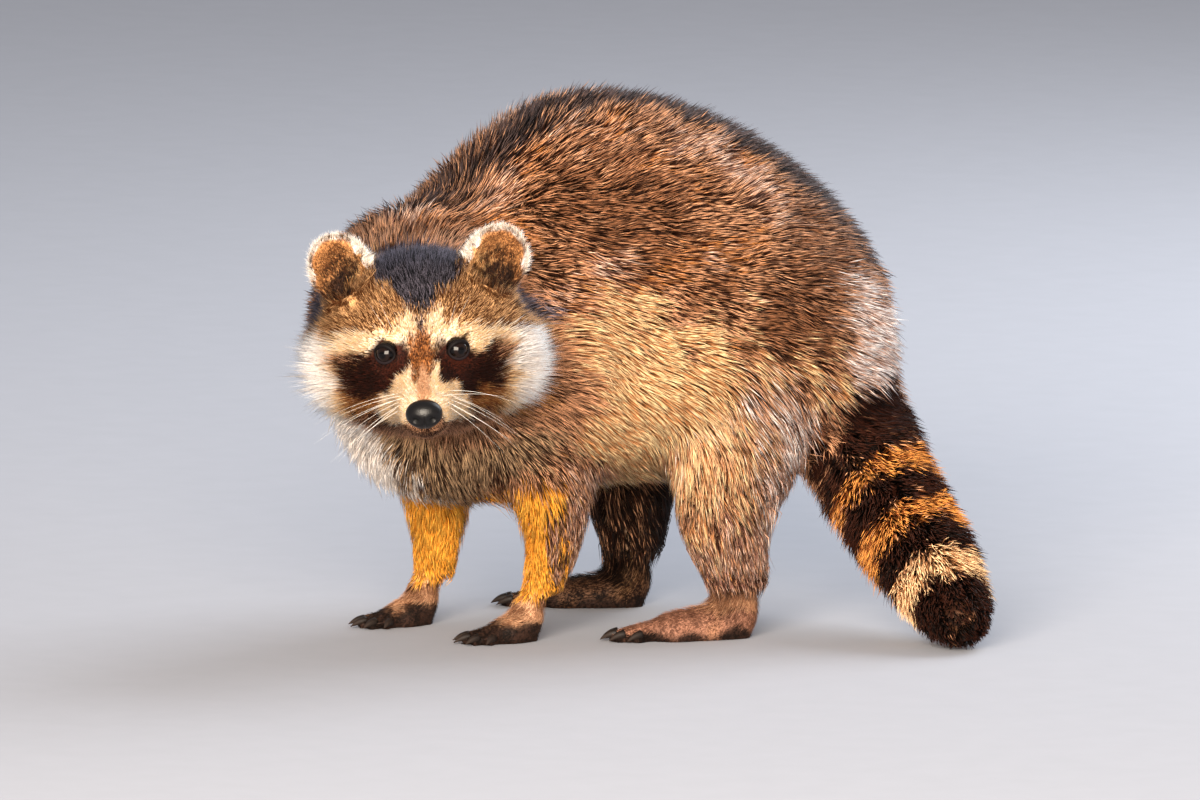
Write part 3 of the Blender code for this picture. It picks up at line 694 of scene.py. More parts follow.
def face_markings(head, points, share):
    """Crown, forehead, cream brows and cheeks, brown bridge and the dark mask."""
    across, rise = head.face(points)
    ahead = head.local(points)[1]
    front = step(share["head"] + share["muzzle"] + share["eye"] + share["nose"], 0.25, 0.6)
    wobble = wave_noise(points, 0.012, 11)[:, 0] * 1.5
    side, high = np.abs(across) + wobble, rise + wobble
    ragged = wave_noise(points, 0.006, 12)[:, 0] * 3.2
    wedge = 5.0 + 26.0 * step(high + ragged, 24.0, 52.0)
    crown = fall(np.abs(across) + ragged, wedge - 3.0, wedge + 3.0) * band(high + ragged, 26.0, 76.0, 14.0)
    stripe = fall(np.abs(across) + ragged * 0.5, 1.6, 4.4) * band(high, 8.0, 40.0, 8.0)
    nape = blob(side, high, (69.0, 40.0), (13.0, 27.0), 0, 0.3) * fall(ahead, -0.050, -0.030)
    nape = nape * step(share["head"] + share["neck"] + share["chest"], 0.3, 0.7) * step(
        ahead, -0.105, -0.085)
    brow = blob(side, high, (37.0, 6.5), (38.0, 7.0), -7, 0.30)
    strip = band(side, 3.5, 14.0, 3.0) * band(high, 0.0, 24.0, 8.0)
    slant = high + 10.0 + 1.03 * (side - 9.5)
    muzzle = fall(slant, -1.8, 1.8) * fall(side, 26.0, 33.0) * step(high, -50.0, -44.0)
    cheek = step(side - 0.25 * np.minimum(high, 0.0), 54.0, 68.0) * fall(high, 4.0, 18.0)
    cream = np.max([brow, strip, muzzle, cheek], axis=0) * step(ahead, -0.068, -0.046)
    cream = cream * (1.0 - 0.9 * stripe)
    dark = np.maximum(blob(side, high, (31.0, -12.5), (25.5, 16.0), -24, 0.16),
                      blob(side, high, (21.0, -2.0), (14.5, 10.5), 0, 0.18))
    # Cheek orange: partly the coat's own rusty tone, partly painted warm sunlight.
    rust = blob(side, high, (38.0, -22.0), (31.0, 18.0), -20, 0.30) * 0.9
    bridge = fall(np.abs(across) + ragged * 0.5, 5.5, 10.0) * band(high, -19.0, 12.0, 10.0)
    snout = blob(across, high, (0.0, -27.0), (4.5, 15.0), 0, 0.35)
    ruff = cheek * step(side, 52.0, 66.0) * step(ahead, -0.068, -0.046)
    mask = dark * (1.0 - np.maximum(0.9 * bridge, muzzle)) * step(ahead, -0.06, -0.03)
    marks = {"forehead": step(high, -5.0, 12.0), "rust": rust, "cream": cream, "ruff": ruff,
             "bridge": bridge * 0.95, "snout": snout, "mask": mask}
    marks = {name: front * values for name, values in marks.items()}
    marks["crown"] = np.max([front * crown, front * stripe, nape], axis=0)
    return marks


def node_outline(across, up):
    """The farthest reach of a flat set of points in each sector: the sectors' headings, the reaches."""
    heading, reach = np.arctan2(up, across), np.hypot(across, up)
    slot = np.floor((heading + math.pi) / (2 * math.pi) * EAR_SECTORS).astype(int) % EAR_SECTORS
    farthest = np.full(EAR_SECTORS, 0.3)
    np.maximum.at(farthest, slot, reach)
    return (np.arange(EAR_SECTORS) + 0.5) / EAR_SECTORS * 2 * math.pi - math.pi, farthest


def ear_markings(coat, skin):
    """Pale rim, rust hair inside and a dark hollow low down, by distance from the ear's middle."""
    rim, inner, hollow, slate, tan = (np.zeros(len(coat.outer)) for _ in range(5))
    wave = wave_noise(coat.outer, 0.006, 14)[:, 0] * 0.2
    facing = step(skin.normals @ coat.head.ahead, -0.15, 0.30)
    for side in ("left", "right"):
        node = f"ear_{side}"
        here = coat.owner == coat.nodes.index(node)
        spots, away = node_points(node) - middle(node), coat.outer - middle(node)
        wide, tall = (np.abs(spots @ axis).max() for axis in (coat.head.left, coat.head.up))
        across, up = away @ coat.head.left / wide, away @ coat.head.up / tall
        reach = np.hypot(across, up - 0.08)
        edge = node_outline(spots @ coat.head.left / wide, spots @ coat.head.up / tall - 0.08)
        reach = reach / np.interp(np.arctan2(up - 0.08, across), *edge, period=2 * math.pi)
        rim = np.where(here, step(reach, 0.87, 0.99) * step(up, -0.60, -0.25), rim)
        slate = np.where(here, fall(reach, 0.70, 0.90) * (1.0 - facing), slate)
        inner = np.where(here, fall(reach, 0.80, 0.94) * facing, inner)
        inside = across * (-1.0 if side == "left" else 1.0)
        tan = np.where(here, step(inside + wave, 0.15, 0.60) * step(-reach, -0.95, -0.85) * facing, tan)
        # Painted shade low in the ear's hollow.
        low = np.hypot(inside - 0.12, up + 0.34)
        hollow = np.where(here, fall(low + wave, 0.36, 0.86) * facing, hollow)
    return {"ear_rim": rim, "ear_inner": inner, "ear_hollow": hollow, "ear_back": slate,
            "ear_tan": tan * 0.65}


# ---------------------------------------------------------------- the tufts
class Roots:
    """Where tufts grow: spots drawn over chosen faces of the skin, with its fields there."""

    def __init__(self, skin, coat, marks, owners, rng, sides=0, share=1.0):
        self.rng = rng
        chosen = np.isin(coat.owner[skin.faces[:, 0]], owners)
        if sides:
            chosen &= np.sign(skin.points[skin.faces[:, 0], 0] - middle("trunk")[0]) == sides
        faces = np.flatnonzero(chosen)
        mean = coat.density[skin.faces[faces]].mean(axis=1) * SQUARE_CM * skin.areas[faces] * share
        count = np.floor(mean + rng.random(len(faces))).astype(int)
        self.face = np.repeat(faces, count)
        mix = rng.random((len(self.face), 2))
        mix = np.where(mix.sum(axis=1, keepdims=True) > 1.0, 1.0 - mix, mix)
        self.mix = np.concatenate([1.0 - mix.sum(axis=1, keepdims=True), mix], axis=1)
        self.corners = skin.faces[self.face]
        self.place, self.flow = self.at(skin.points), unit(self.at(coat.flow))
        self.normal = unit(self.at(skin.normals))
        self.depth, self.length, self.width = (self.at(v) for v in (coat.depth, coat.length, coat.width))
        self.owner, self.lift = coat.owner[self.corners[:, 0]], self.at(coat.lift)
        self.marks = {name: self.at(values) for name, values in marks.items()}

    def at(self, values):
        """Values held by the skin's corners, read at the roots."""
        if values.ndim == 1:
            return (values[self.corners] * self.mix).sum(axis=1)
        return (values[self.corners] * self.mix[:, :, None]).sum(axis=1)


def set_height(points, height, skin, coat, tree):
    """Points moved along the nearest skin's normal to their share of the coat's depth there."""
    near = nearest(tree, points)
    above = ((points - skin.points[near]) * skin.normals[near]).sum(axis=1)
    return points + skin.normals[near] * (height * coat.depth[near] - above)[:, None]


def locks(points, size, seed):
    """Number of the lock each point falls in: cells of a grid bent by smooth noise."""
    bent = points + wave_noise(points, size * 3.2, seed, 3) * size * 0.45
    cells = np.floor(bent / size).astype(np.int64)
    return np.unique(cells @ np.array([1, 4099, 16785407]), return_inverse=True)[1]


def gather(points, lock, pull):
    """Points drawn towards the middle of their lock."""
    total = np.bincount(lock)
    centre = np.stack([np.bincount(lock, points[:, k]) / total for k in range(3)], -1)
    return points + (centre[lock] - points) * np.asarray(pull)[:, None]


def tuft_mesh(roots, skin, coat, tree, style):
    """Points, faces and hair_t of the tufts of one piece, and the lock of each tuft.

    A tuft starts on the skin, rises to about 0.6 of its height over 0.4 of its run along the
    lie of the coat, and lies down to its tip at the coat's outer surface.  Its section is a
    flat three-sided wedge.  Short hair has no middle ring.
    """
    rng, count = roots.rng, len(roots.face)
    guard = rng.random(count) < style.get("guard", 0.12)
    size = roots.length * rng.uniform(0.72, 1.12, count) * np.where(guard, 1.25, 1.0)
    high = rng.uniform(*style.get("height", (0.74, 1.14)), count) * np.where(guard, 1.18, 1.0)
    high = high * (1.0 + (roots.lift - 1.0) * rng.uniform(0.3, 1.0, count))
    rise = roots.depth * high
    run = np.sqrt(np.maximum(size ** 2 - rise ** 2, (0.35 * size) ** 2))
    wander = wave_noise(roots.place, SWAY_SIZE, 21, 3) * 0.16
    wander += rng.normal(size=(count, 3)) * style.get("stray", 0.10)
    flow = unit(roots.flow + wander)
    flow = unit(flow - roots.normal * (flow * roots.normal).sum(axis=1)[:, None] * 0.7)
    start = roots.place - roots.normal * TUFT_ROOT
    middle_ring = roots.place + roots.normal * (rise * 0.62)[:, None] + flow * (run * 0.42)[:, None]
    tip = roots.place + roots.normal * rise[:, None] + flow * run[:, None]
    tip = set_height(tip, high, skin, coat, tree)
    lock = locks(roots.place, style.get("lock", 7.0) * MM, 31)
    tip = gather(tip, lock, style.get("pull", 0.42) * rng.uniform(0.5, 1.2, count))
    tip[:, 2] = np.maximum(tip[:, 2], TIP_HEIGHT)
    middle_ring[:, 2] = np.maximum(middle_ring[:, 2], RING_HEIGHT)
    across = unit(np.cross(tip - start, roots.normal + rng.normal(size=(count, 3)) * 0.35))
    thick = unit(np.cross(across, tip - start)) * -1.0
    wide = roots.width[:, None] / 2 * rng.uniform(0.7, 1.25, (count, 1))
    rings = [(start, 0.85)] if style.get("short") else [(start, 0.70), (middle_ring, 1.0)]
    parts = []
    for centre, size_here in rings:
        half = wide * size_here
        parts += [centre - across * half, centre + across * half, centre + thick * half * 0.75]
    parts.append(tip)
    if style.get("short"):
        pattern = np.array([(0, 2, 1), (0, 1, 3), (1, 2, 3), (2, 0, 3)])
        rows = np.array([0, 0, 0, 1.0])
    else:
        pattern = [(0, 2, 1)]
        for a, b in ((0, 1), (1, 2), (2, 0)):
            pattern += [(a, b, b + 3), (a, b + 3, a + 3), (a + 3, b + 3, 6)]
        pattern, rows = np.array(pattern), np.array([0, 0, 0, 0.5, 0.5, 0.5, 1.0])
    points = np.stack(parts, axis=1)
    faces = (pattern[None] + np.arange(count)[:, None, None] * len(rows)).reshape(-1, 3)
    return points, faces, np.tile(rows, count), lock


def unwrap(roots, coat, points):
    """A patch of the bake map for each tuft, at its root's place on the skin's unwrap.

    Each node of the piece has a tile; in it u is the turn about the node's long axis and v the
    place along that axis.
    """
    owners = np.unique(roots.owner)
    tiles = math.ceil(math.sqrt(len(owners)))
    root = np.zeros((len(roots.face), 2))
    for number, index in enumerate(owners):
        here = roots.owner == index
        spots = node_points(coat.nodes[index])
        centre = spots.mean(axis=0)
        axis, first, second = np.linalg.svd(spots - centre, full_matrices=False)[2]
        away = roots.place[here] - centre
        reach = np.abs((spots - centre) @ axis).max() * 1.05
        turn = np.arctan2(away @ second, away @ first) / (2 * math.pi) + 0.5
        length = np.clip((away @ axis) / reach, -1, 1) / 2 + 0.5
        tile = np.array([number % tiles, number // tiles])
        root[here] = (tile + 0.02 + 0.96 * np.stack([turn, length], -1)) / tiles
    spread = points - points[:, :1]
    side = unit(points[:, 1] - points[:, 0])
    way = unit(points[:, -1] - points[:, 0])
    size = np.linalg.norm(spread, axis=2).max(axis=1)[:, None]
    patch = np.stack([(spread * side[:, None]).sum(axis=2), (spread * way[:, None]).sum(axis=2)], -1)
    patch = patch / np.maximum(size, 1e-9)[:, :, None] * PATCH / 2
    return np.clip(root[:, None] + patch, 0.0, 1.0)


def coat_piece(name, skin, coat, marks, tree, nodes, **style):
    """One piece of coat: its tufts, their markings, their shade and the bake map."""
    rng = np.random.default_rng(sum(ord(letter) for letter in name))
    owners = [coat.nodes.index(node) for node in nodes]
    share = 1.0
    roots = Roots(skin, coat, marks, owners, rng, style.pop("sides", 0), share)
    points, faces, rows, lock = tuft_mesh(roots, skin, coat, tree, style)
    corners = points.shape[1]
    piece = mesh_piece(name, points.reshape(-1, 3), faces)
    shade = rng.random(len(roots.face))
    tint = np.random.default_rng(len(name)).random(lock.max() + 1)[lock]
    fields = {"hair_t": rows, "vary": np.repeat(shade, corners), "lock": np.repeat(tint, corners)}
    chance = 0.65 * shade[::-1] + 0.35 * tint
    for mark, values in roots.marks.items():
        if mark != "ground" and values.max() > 0.01:
            taken = np.clip((1.2 * values - 0.1 - chance) * 4.0 + 0.5, 0.0, 1.0)
            fields[mark] = np.repeat(taken, corners)
    for field, values in fields.items():
        set_attribute(piece, field, values)
    layer = piece.data.uv_layers.new(name="OFBake")
    spots = unwrap(roots, coat, points).reshape(-1, 2)
    layer.data.foreach_set("uv", spots[faces.ravel()].astype(np.float32).ravel())
    return piece


# ---------------------------------------------------------------- eyes, nose, claws, whiskers
def eye_axes(head, side):
    """Gaze, across and up of one eye: turned out and up a little from straight ahead."""
    gaze = unit(head.ahead * 0.86 + head.left * side * 0.44 + head.up * 0.16)
    across = unit(np.cross(head.up, gaze))
    return gaze, across, np.cross(gaze, across)


def eyeball(centre, axes, radius):
    """A ball whose front swells into a cornea: R (1 + 0.05 e^-(p/0.5)^2) at polar angle p."""
    gaze, across, up = axes
    polar = np.linspace(0.02, math.pi - 0.02, EYE_GRID[0])[:, None]
    turn = np.linspace(0, 2 * math.pi, EYE_GRID[1], endpoint=False)[None]
    reach = radius * (1.0 + 0.05 * np.exp(-(polar / 0.5) ** 2))
    out = np.cos(polar)[..., None] * gaze + (np.sin(polar) * np.cos(turn))[..., None] * across
    out = out + (np.sin(polar) * np.sin(turn))[..., None] * up
    return rings_mesh(centre + out * reach[..., None])


def eyelid(centre, axes, radius, half, thick):
    """A rounded rim about an almond opening on the eyeball.

    The opening is an ellipse drawn out to points at the corners; the rim is an oval section
    carried round it, thicker above.
    """
    gaze, across, up = axes
    turn = np.linspace(0, 2 * math.pi, LID_GRID[0], endpoint=False)
    c, s = np.cos(turn), np.sin(turn)
    reach = half[0] * half[1] / np.hypot(half[1] * c, half[0] * s) * (1.0 + 0.12 * np.abs(c) ** 7)
    flat = across * (reach * c)[:, None] + up * (reach * s)[:, None]
    path = flat + gaze * np.sqrt(np.maximum(radius ** 2 - reach ** 2, 0.0))[:, None]
    normal = unit(path)
    out = unit(flat - normal * (flat * normal).sum(axis=1)[:, None])
    section = np.linspace(0, 2 * math.pi, LID_GRID[1], endpoint=False)
    heavy = thick * (1.0 + 0.45 * np.maximum(s, 0.0))
    rings = path[:, None] + normal[:, None] * (np.sin(section)[None, :] * heavy[:, None])[..., None]
    rings = rings + out[:, None] * ((np.cos(section)[None, :] + 0.7) * heavy[:, None] * 1.1)[..., None]
    return rings_mesh(centre + rings, loop=True)


def nose_pad(head):
    """The bare pad: an oval dome, broad above and narrow below, with two nostrils and a cleft.

    Each nostril is a round pit with a slit running out from it; pits, slits and cleft are
    Gaussian dents of the dome.
    """
    spots = node_points("nose") - middle("nose")
    half = [np.abs(spots @ axis).max() for axis in (head.left, head.ahead, head.up)]
    polar = np.linspace(0.01, math.pi - 0.01, NOSE_GRID[0])[:, None]
    turn = np.linspace(0, 2 * math.pi, NOSE_GRID[1], endpoint=False)[None]
    ahead = np.broadcast_to(np.cos(polar), NOSE_GRID)
    left, up = np.sin(polar) * np.cos(turn), np.sin(polar) * np.sin(turn)
    x = left * half[0] * (0.95 + 0.05 * up)
    z = up * half[2]
    y = ahead * half[1] * 1.02
    side = np.abs(x)
    pit = np.exp(-((side - 0.42 * half[0]) / (0.20 * half[0])) ** 2
                 - ((z + 0.16 * half[2]) / (0.22 * half[2])) ** 2)
    slit = np.exp(-((side - 0.74 * half[0]) / (0.26 * half[0])) ** 2
                  - ((z + 0.26 * half[2] + 0.30 * (side - 0.5 * half[0])) / (0.10 * half[2])) ** 2)
    cleft = np.exp(-(x / (0.05 * half[0])) ** 2) * step(-z, -0.20 * half[2], 0.20 * half[2])
    front = step(ahead, 0.05, 0.45)
    dent = np.maximum(pit * 0.34, slit * 0.18) * half[1] * front + cleft * 0.10 * half[1] * front
    y = y - dent
    rings = (middle("nose") + x[..., None] * head.left + y[..., None] * head.ahead + z[..., None] * head.up)
    points, faces = rings_mesh(rings)
    # How deep each spot lies in a pit or slit: the leather's colour darkens there as painted shade in the
    # nostrils.
    shade = np.concatenate([np.maximum(pit, slit * 0.8).ravel() * front.ravel(), [0.0, 0.0]])
    return points, faces, shade


def claw(node, foot):
    """A horn bent down at its point: an oval section carried along an arched line and narrowed."""
    spots = node_points(node)
    centre = spots.mean(axis=0)
    axis = np.linalg.svd(spots - centre, full_matrices=False)[2][0]
    axis = axis * np.sign(axis @ (centre - middle(foot)))
    reach = (spots - centre) @ axis
    half = np.sqrt(((spots - centre - reach[:, None] * axis) ** 2).sum(axis=1)).max()
    t = np.linspace(0.0, 1.0, CLAW_GRID[0])
    ends = [centre + axis * reach.min(), centre + axis * reach.max()]
    low = spots[:, 2].min()
    path = ends[0] + (ends[1] - ends[0]) * t[:, None]
    path[:, 2] += 0.22 * half * np.sin(t * math.pi) - 0.25 * half * t ** 2
    radius = half * 0.92 * (1.0 - t ** 1.7) + 0.10 * MM
    rings = tube(path, radius, CLAW_GRID[1])
    rings[..., 2] = np.maximum(rings[..., 2], low)
    points, faces = rings_mesh(rings)
    return points, faces, np.concatenate([np.repeat(t, CLAW_GRID[1]), [0.0, 1.0]])


def whisker(start, way, length, droop, radius):
    """A tapering hair: start + way s + droop s^2, its radius falling to 0.12 of the root's."""
    t = np.linspace(0.0, 1.0, WHISKER_GRID[0])
    path = start + way * (length * t)[:, None] + droop * (length * t ** 2)[:, None]
    return rings_mesh(tube(path, radius * (1.0 - 0.88 * t), WHISKER_GRID[1]))


def whiskers(head, length, radius, rows):
    """Stiff hairs in rows on each side of the muzzle and a few over the eyes."""
    rng = np.random.default_rng(77)
    parts = []
    for side in (1, -1):
        for number in range(rows):
            level = number % 3
            root = head.place(side * (0.0125 + 0.0016 * (number // 3) + 0.002 * level),
                              0.030 - 0.0042 * (number // 3), -0.0205 - 0.0042 * level)
            way = unit(head.left * side * 0.92 + head.ahead * (0.24 - 0.10 * (number // 3))
                       - head.up * (0.10 + 0.17 * level) + rng.normal(size=3) * 0.10)
            droop = -head.up * rng.uniform(0.16, 0.34) - head.ahead * rng.uniform(0.05, 0.30)
            parts.append(whisker(root, way, length * rng.uniform(0.62, 1.0), droop, radius))
        for number in range(2):
            root = head.place(side * (0.019 + 0.004 * number), -0.004, 0.0165)
            way = unit(head.left * side * (0.35 + 0.2 * number) + head.up * 0.9 + head.ahead * 0.15)
            parts.append(whisker(root, way, length * 0.34, -head.ahead * 0.4, radius * 0.8))
    return joined(parts)


# ---------------------------------------------------------------- materials
def add(tree, kind, feeds=None, out=0, **settings):
    """The output of a new node, with its settings, and each input set or linked to an output."""
    made = tree.nodes.new(f"ShaderNode{kind}")
    for name, value in settings.items():
        setattr(made, name, value)
    for socket, value in (feeds or {}).items():
        if isinstance(value, bpy.types.NodeSocket):
            tree.links.new(value, made.inputs[socket])
        else:
            made.inputs[socket].default_value = value
    return made.outputs[out]


def new_material(name):
    """An empty node material: it, its tree, and the place of a point in the object."""
    material = bpy.data.materials.new(name)
    material.use_nodes = True
    tree = material.node_tree
    tree.nodes.clear()
    return material, tree, add(tree, "TexCoord", out="Object")


def surface(tree, feeds):
    """The shader and the output that end a material."""
    shader = add(tree, "BsdfPrincipled", feeds)
    output = tree.nodes.new("ShaderNodeOutputMaterial")
    tree.links.new(shader, output.inputs["Surface"])


def per_metre(millimetres):
    """A texture's scale for a feature of that size."""
    return 1000.0 / millimetres


def fur_material(name, colours, underfur=False):
    """Raccoon hair: keratin, satin rather than glossy, darker at its root.

    Each tuft is a pale or a dark hair of its marking; a lock shares a tint, which gives the
    streaks.  On the skin between the tufts the same colours lie deeper, as underfur does.
    """
    material, tree, where = new_material(name)
    marks = list(MARKINGS)[1:]
    names = marks if underfur else marks + ["hair_t", "lock", "vary"]
    fields = {field: add(tree, "Attribute", out="Fac", attribute_name=field) for field in names}
    tones = []
    for tone in ("pale", "dark"):
        colour = (*getattr(colours, f"ground_{tone}"), 1.0)
        for mark in marks:
            feeds = {0: fields[mark], 6: colour, 7: (*getattr(colours, f"{mark}_{tone}"), 1.0)}
            colour = add(tree, "Mix", feeds, out=2, data_type="RGBA")
        tones.append(colour)
    streak = add(tree, "TexNoise", {"Vector": where, "Scale": per_metre(11.0), "Detail": 3.0})
    if underfur:
        grain = add(tree, "TexNoise", {"Vector": where, "Scale": per_metre(1.6), "Detail": 4.0})
        share, span = add(tree, "Math", {0: grain, 1: streak}, operation="ADD"), (0.86, 1.16)
    else:
        tip = fields["hair_t"]
        tint = add(tree, "Math", {0: fields["lock"], 1: 0.45, 2: fields["vary"]}, operation="MULTIPLY_ADD")
        share, span = add(tree, "Math", {0: streak, 1: 0.8, 2: tint}, operation="MULTIPLY_ADD"), (1.05, 1.55)
    dark = add(tree, "MapRange", {"Value": share, "From Min": span[0], "From Max": span[1]},
               interpolation_type="SMOOTHSTEP")
    # Value of the colour: held low on the skin, as painted shade under the tufts.
    depth = 0.62
    if not underfur:
        light = add(tree, "Math", {0: 1.0, 1: dark}, operation="SUBTRACT")
        pale_tip = add(tree, "MapRange", {"Value": tip, "From Min": 0.50, "From Max": 0.74},
                       interpolation_type="SMOOTHSTEP")
        pale = add(tree, "Math", {0: light, 1: pale_tip}, operation="MULTIPLY")
        dark = add(tree, "Math", {0: 1.0, 1: pale}, operation="SUBTRACT")
        # Painted shade: each tuft darker towards its root.
        depth = add(tree, "MapRange", {"Value": tip, "From Max": 0.7, "To Min": 0.55})
    colour = add(tree, "Mix", {0: dark, 6: tones[0], 7: tones[1]}, out=2, data_type="RGBA")
    feeds = {"Base Color": add(tree, "HueSaturation", {"Color": colour, "Value": depth}),
             "Roughness": add(tree, "MapRange", {"Value": streak, "To Min": 0.50, "To Max": 0.72}),
             "Specular IOR Level": 0.12}
    if underfur:
        feeds["Normal"] = add(tree, "Bump", {"Height": grain, "Strength": 0.8, "Distance": 0.6 * MM})
    surface(tree, feeds)
    return material


def wet_material(name, pale, dark, field, size, rough, bump, shine=0.5, dull=0.35):
    """Bare or horny tissue: two tones by a field and by grain, with a fine pebbled bump.

    Used for the cornea, the nose's leather, lids, claw horn and whiskers, each with its own size
    of pebble (mm) and gloss.  Where the field is high the tissue is duller.
    """
    material, tree, where = new_material(name)
    tone = add(tree, "Attribute", out="Fac", attribute_name=field)
    grain = add(tree, "TexNoise", {"Vector": where, "Scale": per_metre(size * 2.5), "Detail": 3.0})
    mixed = add(tree, "Math", {0: grain, 1: 0.30, 2: tone}, operation="MULTIPLY_ADD")
    share = add(tree, "MapRange", {"Value": mixed, "From Min": 0.10, "From Max": 1.15})
    gloss = add(tree, "MapRange", {"Value": grain, "To Min": rough * 0.8, "To Max": rough * 1.25})
    feeds = {
        "Base Color": add(tree, "Mix", {0: share, 6: linear(pale), 7: linear(dark)}, out=2, data_type="RGBA"),
        "Roughness": add(tree, "Math", {0: tone, 1: dull, 2: gloss}, operation="MULTIPLY_ADD"),
        "Specular IOR Level": shine,
    }
    if bump:
        pebble = add(tree, "TexVoronoi", {"Vector": where, "Scale": per_metre(size)})
        feeds["Normal"] = add(tree, "Bump", {"Height": pebble, "Strength": bump,
                                             "Distance": size * 0.25 * MM})
    surface(tree, feeds)
    return material


def paper_material(colour):
    """Matt studio paper: a pale even ground with the faint mottle of its fibres."""
    material, tree, where = new_material("matt studio paper")
    fibre = add(tree, "TexNoise", {"Vector": where, "Scale": per_metre(30.0), "Detail": 4.0})
    darker = (*(v * 0.94 for v in colour), 1.0)
    surface(tree, {
        "Base Color": add(tree, "Mix", {0: fibre, 6: (*colour, 1.0), 7: darker}, out=2, data_type="RGBA"),
        "Roughness": add(tree, "MapRange", {"Value": fibre, "To Min": 0.85, "To Max": 0.95}),
        "Specular IOR Level": 0.2})
    return material


# ---------------------------------------------------------------- settings
def settings_group(name, text, made):
    """A property group made of a table of its settings."""
    return type(name, (bpy.types.PropertyGroup,), {"__doc__": text, "__annotations__": made})


def colour_setting(name, text, colour):
    """A colour that the user may change."""
    return bpy.props.FloatVectorProperty(name=name, description=text, subtype="COLOR", size=3,
                                         min=0.0, max=1.0, default=colour[:3])


def number_setting(name, text, value, low, high, **kind):
    """A number that the user may change, between two limits."""
    return bpy.props.FloatProperty(name=name, description=text, default=value, min=low, max=high, **kind)


RaccoonColours = settings_group("RaccoonColours", "Colours of the coat's markings.", {
    f"{mark}_{tone}": colour_setting(f"{mark} {tone}".replace("_", " ").capitalize(),
                                     f"The {tone} hairs of the {mark}".replace("_", " "), linear(code))
    for mark, codes in MARKINGS.items() for tone, code in zip(("pale", "dark"), codes)})

RaccoonCoat = settings_group("RaccoonCoat", "How full and how long the coat is.", {
    "fullness": number_setting("Fullness", "Number of tufts against the standard coat",
                               1.0, 0.1, 1.3, subtype="FACTOR"),
    "hair_length": number_setting("Hair length", "Length of the tufts against the standard coat",
                                  1.0, 0.5, 1.3, subtype="FACTOR"),
    "hair_width": number_setting("Hair width", "Width of the tufts against the standard coat",
                                 1.0, 0.5, 2.0, subtype="FACTOR")})

RaccoonFace = settings_group("RaccoonFace", "Sizes about the eyes and the whiskers.", {
    "lid_thickness": number_setting("Lid thickness", "Half the thickness of the eyelid's rim",
                                    1.0 * MM, 0.2 * MM, 2.0 * MM, unit="LENGTH"),
    "lid_half_width": number_setting("Half opening", "Half the width of the eye's opening",
                                     6.0 * MM, 4.0 * MM, 7.8 * MM, unit="LENGTH"),
    "lid_half_height": number_setting("Half height", "Half the height of the eye's opening",
                                      5.1 * MM, 3.0 * MM, 7.8 * MM, unit="LENGTH"),
    "whisker_length": number_setting("Whisker length", "Length of the longest whiskers",
                                     60 * MM, 20 * MM, 90 * MM, unit="LENGTH"),
    "whisker_radius": number_setting("Whisker radius", "Radius of a whisker at its root",
                                     0.10 * MM, 0.05 * MM, 0.6 * MM, unit="LENGTH"),
    "whisker_count": bpy.props.IntProperty(name="Whiskers", min=3, max=18, default=8,
                                           description="Whiskers on each side of the muzzle")})

RaccoonStage = settings_group("RaccoonStage", "The floor, the lights and the camera's place.", {
    "floor_colour": colour_setting("Floor", "Colour of the floor", linear("#a6a8b0")),
    "azimuth": number_setting("Azimuth", "Turn of the camera round the animal",
                              math.radians(60.0), -math.pi, math.pi, subtype="ANGLE"),
    "elevation": number_setting("Elevation", "Height of the camera over the horizon",
                                math.radians(8.0), 0.0, math.pi / 2, subtype="ANGLE"),
    "distance": number_setting("Distance", "Distance of the camera from its target",
                               20.0, 1.0, 50.0, unit="LENGTH"),
    "width": number_setting("Width of view", "Width that the camera takes in at its target",
                            0.791, 0.1, 5.0, unit="LENGTH"),
    "key_power": number_setting("Key light", "Power of the key light", 890.0, 0.0, 5000.0, unit="POWER"),
    "fill_strength": number_setting("Fill light", "Strength of the light from all round",
                                    0.50, 0.0, 5.0)})


# ---------------------------------------------------------------- operators
FLESH = ("head", "muzzle", "nose", "eye_left", "eye_right", "ear_left", "ear_right", "neck", "chest",
         "trunk", "rump", "tail_base", "tail_middle", "tail_tip", "foreleg_left", "foreleg_right",
         "hindleg_left", "hindleg_right", "forepaw_left", "forepaw_right", "hindfoot_left",
         "hindfoot_right")
# Each piece of coat: the nodes it grows on and how its tufts stand.  pull gathers tips into locks
# of the lock's size (mm), stray turns single hairs, sides takes one side of the body.
SHORT = {"short": True, "lock": 3.0}
LOW = {**SHORT, "height": (0.6, 1.6)}
CHEST = {"guard": 0.18, "stray": 0.14, "lock": 5.0, "pull": 0.38}
TRUNK = {"lock": 4.8, "pull": 0.38}
RUMP = {**TRUNK, "guard": 0.18, "stray": 0.13}
COAT_PIECES = {
    "coat_face": (("head", "muzzle"), {**SHORT, "pull": 0.25, "stray": 0.20, "guard": 0.2}),
    "coat_ears": (("ear_left", "ear_right"), {**LOW, "pull": 0.20, "stray": 0.30}),
    "coat_neck": (("neck",), {}),
    "coat_chest_left": (("chest",), {**CHEST, "sides": 1}),
    "coat_chest_right": (("chest",), {**CHEST, "sides": -1}),
    "coat_trunk_left": (("trunk",), {**TRUNK, "sides": 1}),
    "coat_trunk_right": (("trunk",), {**TRUNK, "sides": -1}),
    "coat_rump_left": (("rump",), {**RUMP, "sides": 1}),
    "coat_rump_right": (("rump",), {**RUMP, "sides": -1}),
    "coat_tail": (("tail_base", "tail_middle", "tail_tip"), {}),
    "coat_forelegs": (("foreleg_left", "foreleg_right"),
                      {"lock": 4.0, "pull": 0.30, "guard": 0.20, "stray": 0.15}),
    "coat_hindlegs": (("hindleg_left", "hindleg_right"), {"guard": 0.22, "stray": 0.15}),
    "coat_feet": (("forepaw_left", "forepaw_right", "hindfoot_left", "hindfoot_right"),
                  {**LOW, "pull": 0.25}),
}
